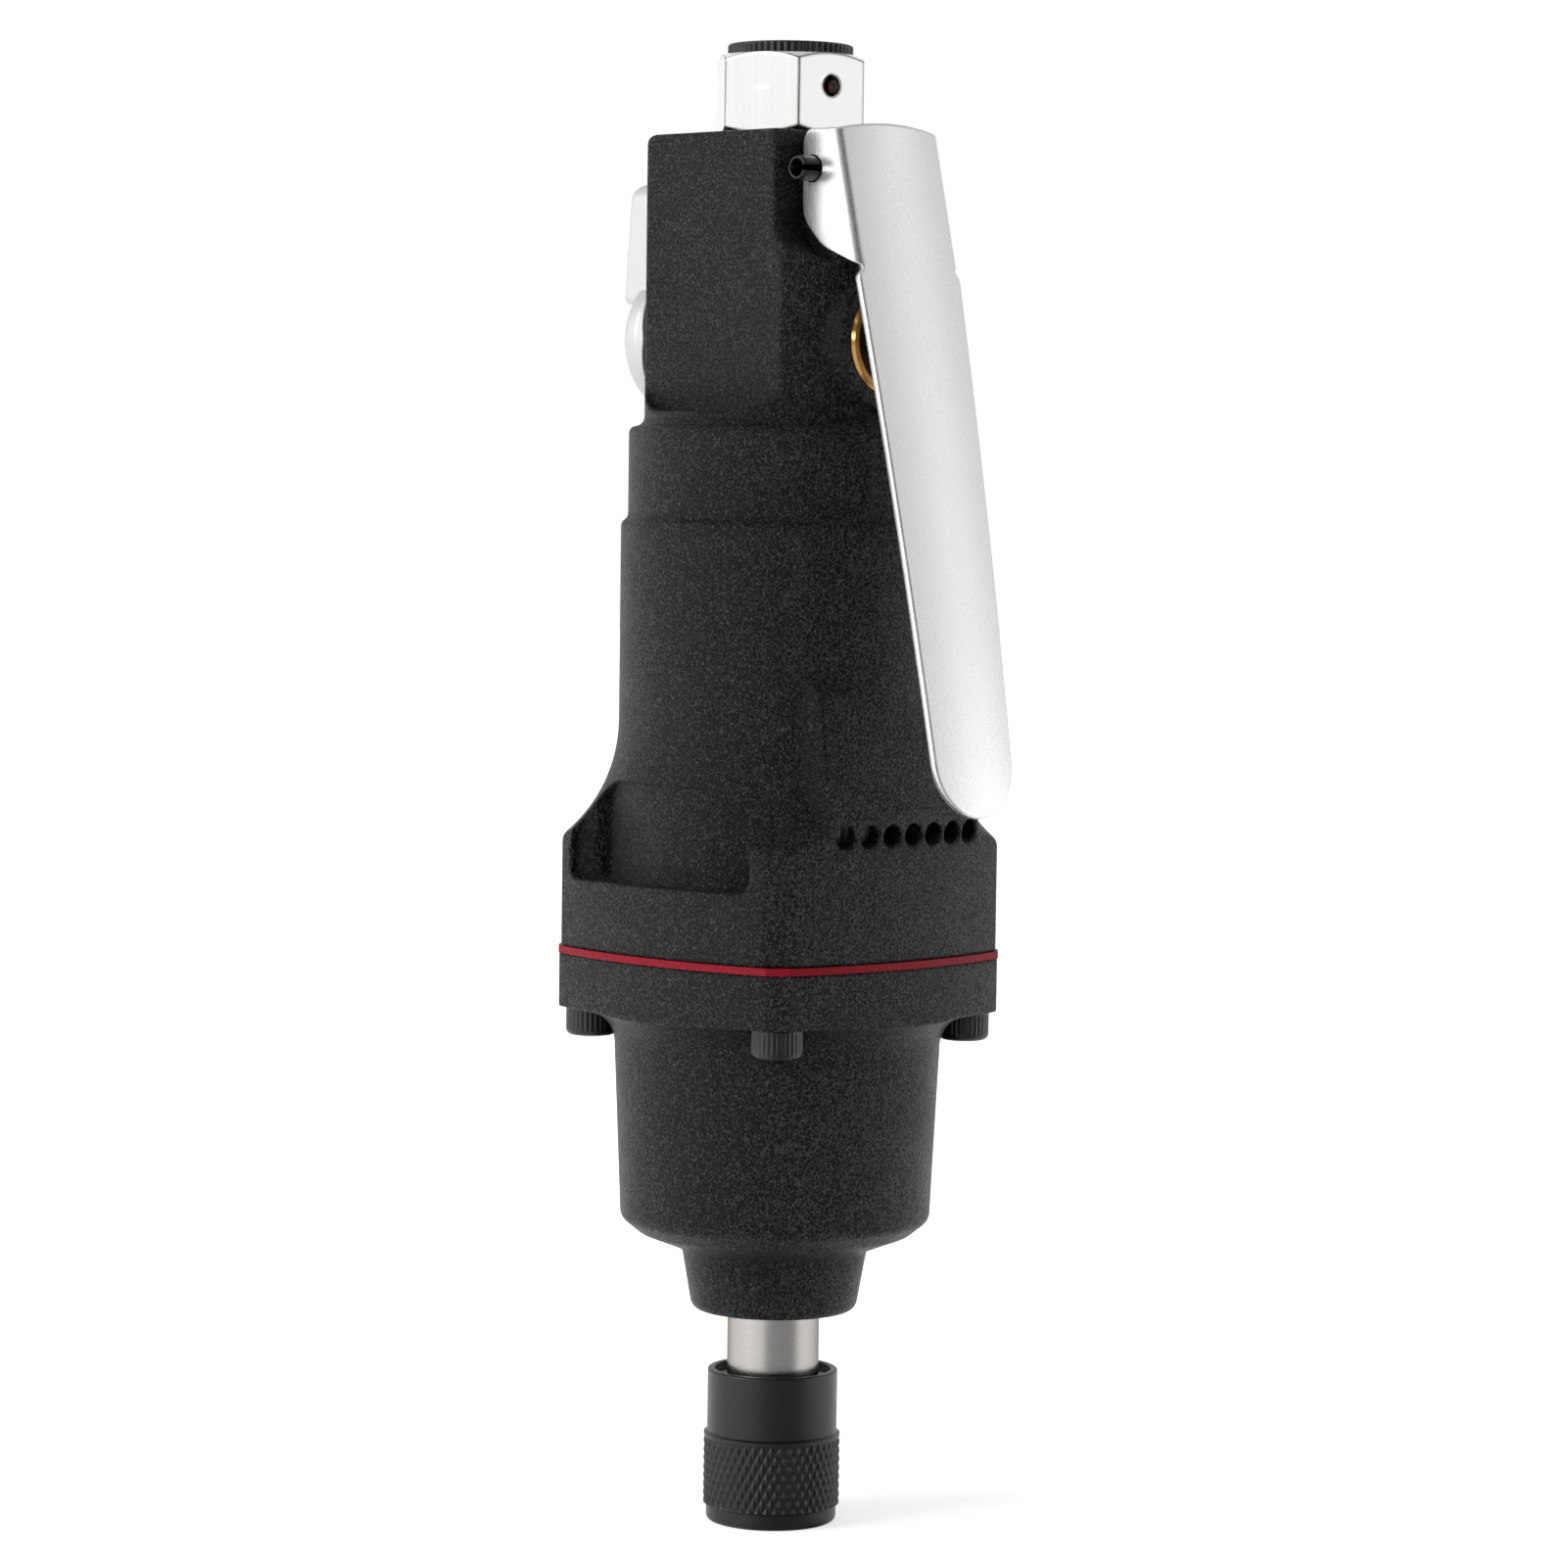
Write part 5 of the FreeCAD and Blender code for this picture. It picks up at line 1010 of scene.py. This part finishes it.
make_camera()


# ================================================================== floor, world and lamps
FLOOR_RADIUS = 4.0
FLOOR_SEGMENTS = 96
FLOOR_PAINT = (0.8, 0.8, 0.8, 1)
SHADOW_RADIUS = 0.10        # the floor takes shadow inside here, and is plain white beyond
SHADOW_FULL = 0.03          # the shadow is at its strongest inside here
SHADOW_GLOW = 0.62          # the floor's own light there
WHITE = (1, 1, 1, 1)
AMBIENT = 0.46              # the studio's strength on dull surfaces
DARK_SIDE = 0.03            # share of the studio's light that comes from beside the camera
DARK_AZIMUTH = math.radians(-25)
DARK_FROM, DARK_TO = math.radians(52), math.radians(25)
TO_DARK = Vector((math.cos(DARK_AZIMUTH), math.sin(DARK_AZIMUTH), 0))
HIGH_SIDE = 0.62            # share in gloss from high up
HIGH_FROM, HIGH_TO = math.radians(16), math.radians(45)
LAMP_DISTANCE = 1.15
LAMPS = {                   # direction in degrees, height, width and length, power in watts
    "key": (-108, 0.7, (0.75, 0.6), 8.1),
    "side": (-134, 0.32, (0.5, 0.4), 0.7),
    "band": (49, 0.42, (0.28, 0.8), 0.4),
    "strip": (-106, 0.14, (0.32, 0.26), 0.8),
    "fill": (46, 0.12, (0.5, 0.22), 0.8),
    "front": (-43, 0.3, (0.12, 0.12), 0.4),
}


class Glow(Wiring):
    """Nodes of the floor and the world, which differ with the kind of ray that asks."""

    def __init__(self, tree):
        super().__init__(tree)
        self.path = self.add("ShaderNodeLightPath").outputs

    def ramp(self, value, start, end, first, last):
        """Soft step from the first to the last value."""
        return self.remap(value, start, end, first, last, interpolation_type="SMOOTHSTEP")

    def studio(self, direction):
        """1 all round, dim towards the camera's side."""
        towards = self.vector("DOT_PRODUCT", direction, TO_DARK)["Value"]
        return self.ramp(towards, math.cos(DARK_FROM), math.cos(DARK_TO), 1.0, DARK_SIDE)

    def tent(self, direction):
        """The studio as gloss shows it: dimmer high up as well."""
        height = self.add("ShaderNodeSeparateXYZ", {"Vector": direction}).outputs["Z"]
        upward = self.ramp(height, math.sin(HIGH_FROM), math.sin(HIGH_TO), 1.0, HIGH_SIDE)
        return self.maths("MULTIPLY", self.studio(direction), upward)

    def seen(self):
        """1 for rays from the camera, from gloss and through glass, otherwise 0."""
        gloss = self.maths("MAXIMUM", self.path["Is Glossy Ray"], self.path["Is Transmission Ray"])
        return self.maths("MAXIMUM", self.path["Is Camera Ray"], gloss)


def make_floor():
    """Pale floor: white to the eye, with a soft shadow close round the tool."""
    mesh = bmesh.new()
    bmesh.ops.create_circle(mesh, cap_ends=True, radius=FLOOR_RADIUS, segments=FLOOR_SEGMENTS)
    data = bpy.data.meshes.new("floor")
    mesh.to_mesh(data)
    mesh.free()
    floor = bpy.data.objects.new("floor", data)
    scene.collection.objects.link(floor)
    material = bpy.data.materials.new("pale_floor")
    material.use_nodes = True
    material.node_tree.nodes.clear()
    wiring = Glow(material.node_tree)
    place = wiring.add("ShaderNodeTexCoord").outputs["Object"]
    distance = wiring.vector("LENGTH", place)["Value"]
    open_floor = wiring.ramp(distance, SHADOW_FULL, SHADOW_RADIUS, SHADOW_GLOW, 1.0)
    outward = wiring.vector("NORMALIZE", place)["Vector"]
    gloss = wiring.pick(wiring.path["Is Camera Ray"], wiring.studio(outward), 1.0)
    white = wiring.maths("MULTIPLY", wiring.maths("MULTIPLY", open_floor, gloss), wiring.seen())
    glow = wiring.add("ShaderNodeEmission", {"Strength": white})
    paint = wiring.add("ShaderNodeBsdfDiffuse", {"Color": FLOOR_PAINT})
    both = wiring.add("ShaderNodeAddShader")
    for socket, shader in zip(both.inputs, (glow, paint)):
        wiring.feed(socket, shader.outputs[0])
    wiring.add("ShaderNodeOutputMaterial", {"Surface": both.outputs[0]})
    data.materials.append(material)


def make_world():
    """White studio all round, dim where the camera stands, at full strength to the eye."""
    world = bpy.data.worlds.new("studio")
    scene.world = world
    world.use_nodes = True
    background = world.node_tree.nodes["Background"]
    background.inputs["Color"].default_value = WHITE
    wiring = Glow(world.node_tree)
    direction = wiring.add("ShaderNodeTexCoord").outputs["Generated"]
    soft = wiring.maths("MULTIPLY", wiring.studio(direction), AMBIENT)
    gloss = wiring.pick(wiring.path["Is Camera Ray"], wiring.tent(direction), 1.0)
    strength = wiring.pick(wiring.seen(), soft, gloss)
    wiring.feed(background.inputs["Strength"], strength)


def make_lamp(name, angle, height, size, power):
    """Softbox at an angle about the tool's axis, aimed at the barrel."""
    data = bpy.data.lights.new(name, "AREA")
    data.shape = "RECTANGLE"
    data.size, data.size_y = size
    data.energy = power
    lamp = bpy.data.objects.new(name, data)
    turn = math.radians(angle)
    away = Vector((math.cos(turn), math.sin(turn), 0))
    lamp.location = away * LAMP_DISTANCE + Vector((0, 0, height))
    aim = Vector((0, 0, cad_box[1].z / 2)) - lamp.location
    lamp.rotation_euler = aim.to_track_quat("-Z", "Y").to_euler()
    lamp.visible_camera = False
    scene.collection.objects.link(lamp)


make_floor()
make_world()
for name, settings in LAMPS.items():
    make_lamp(name, *settings)
scene.view_settings.view_transform = "Standard"
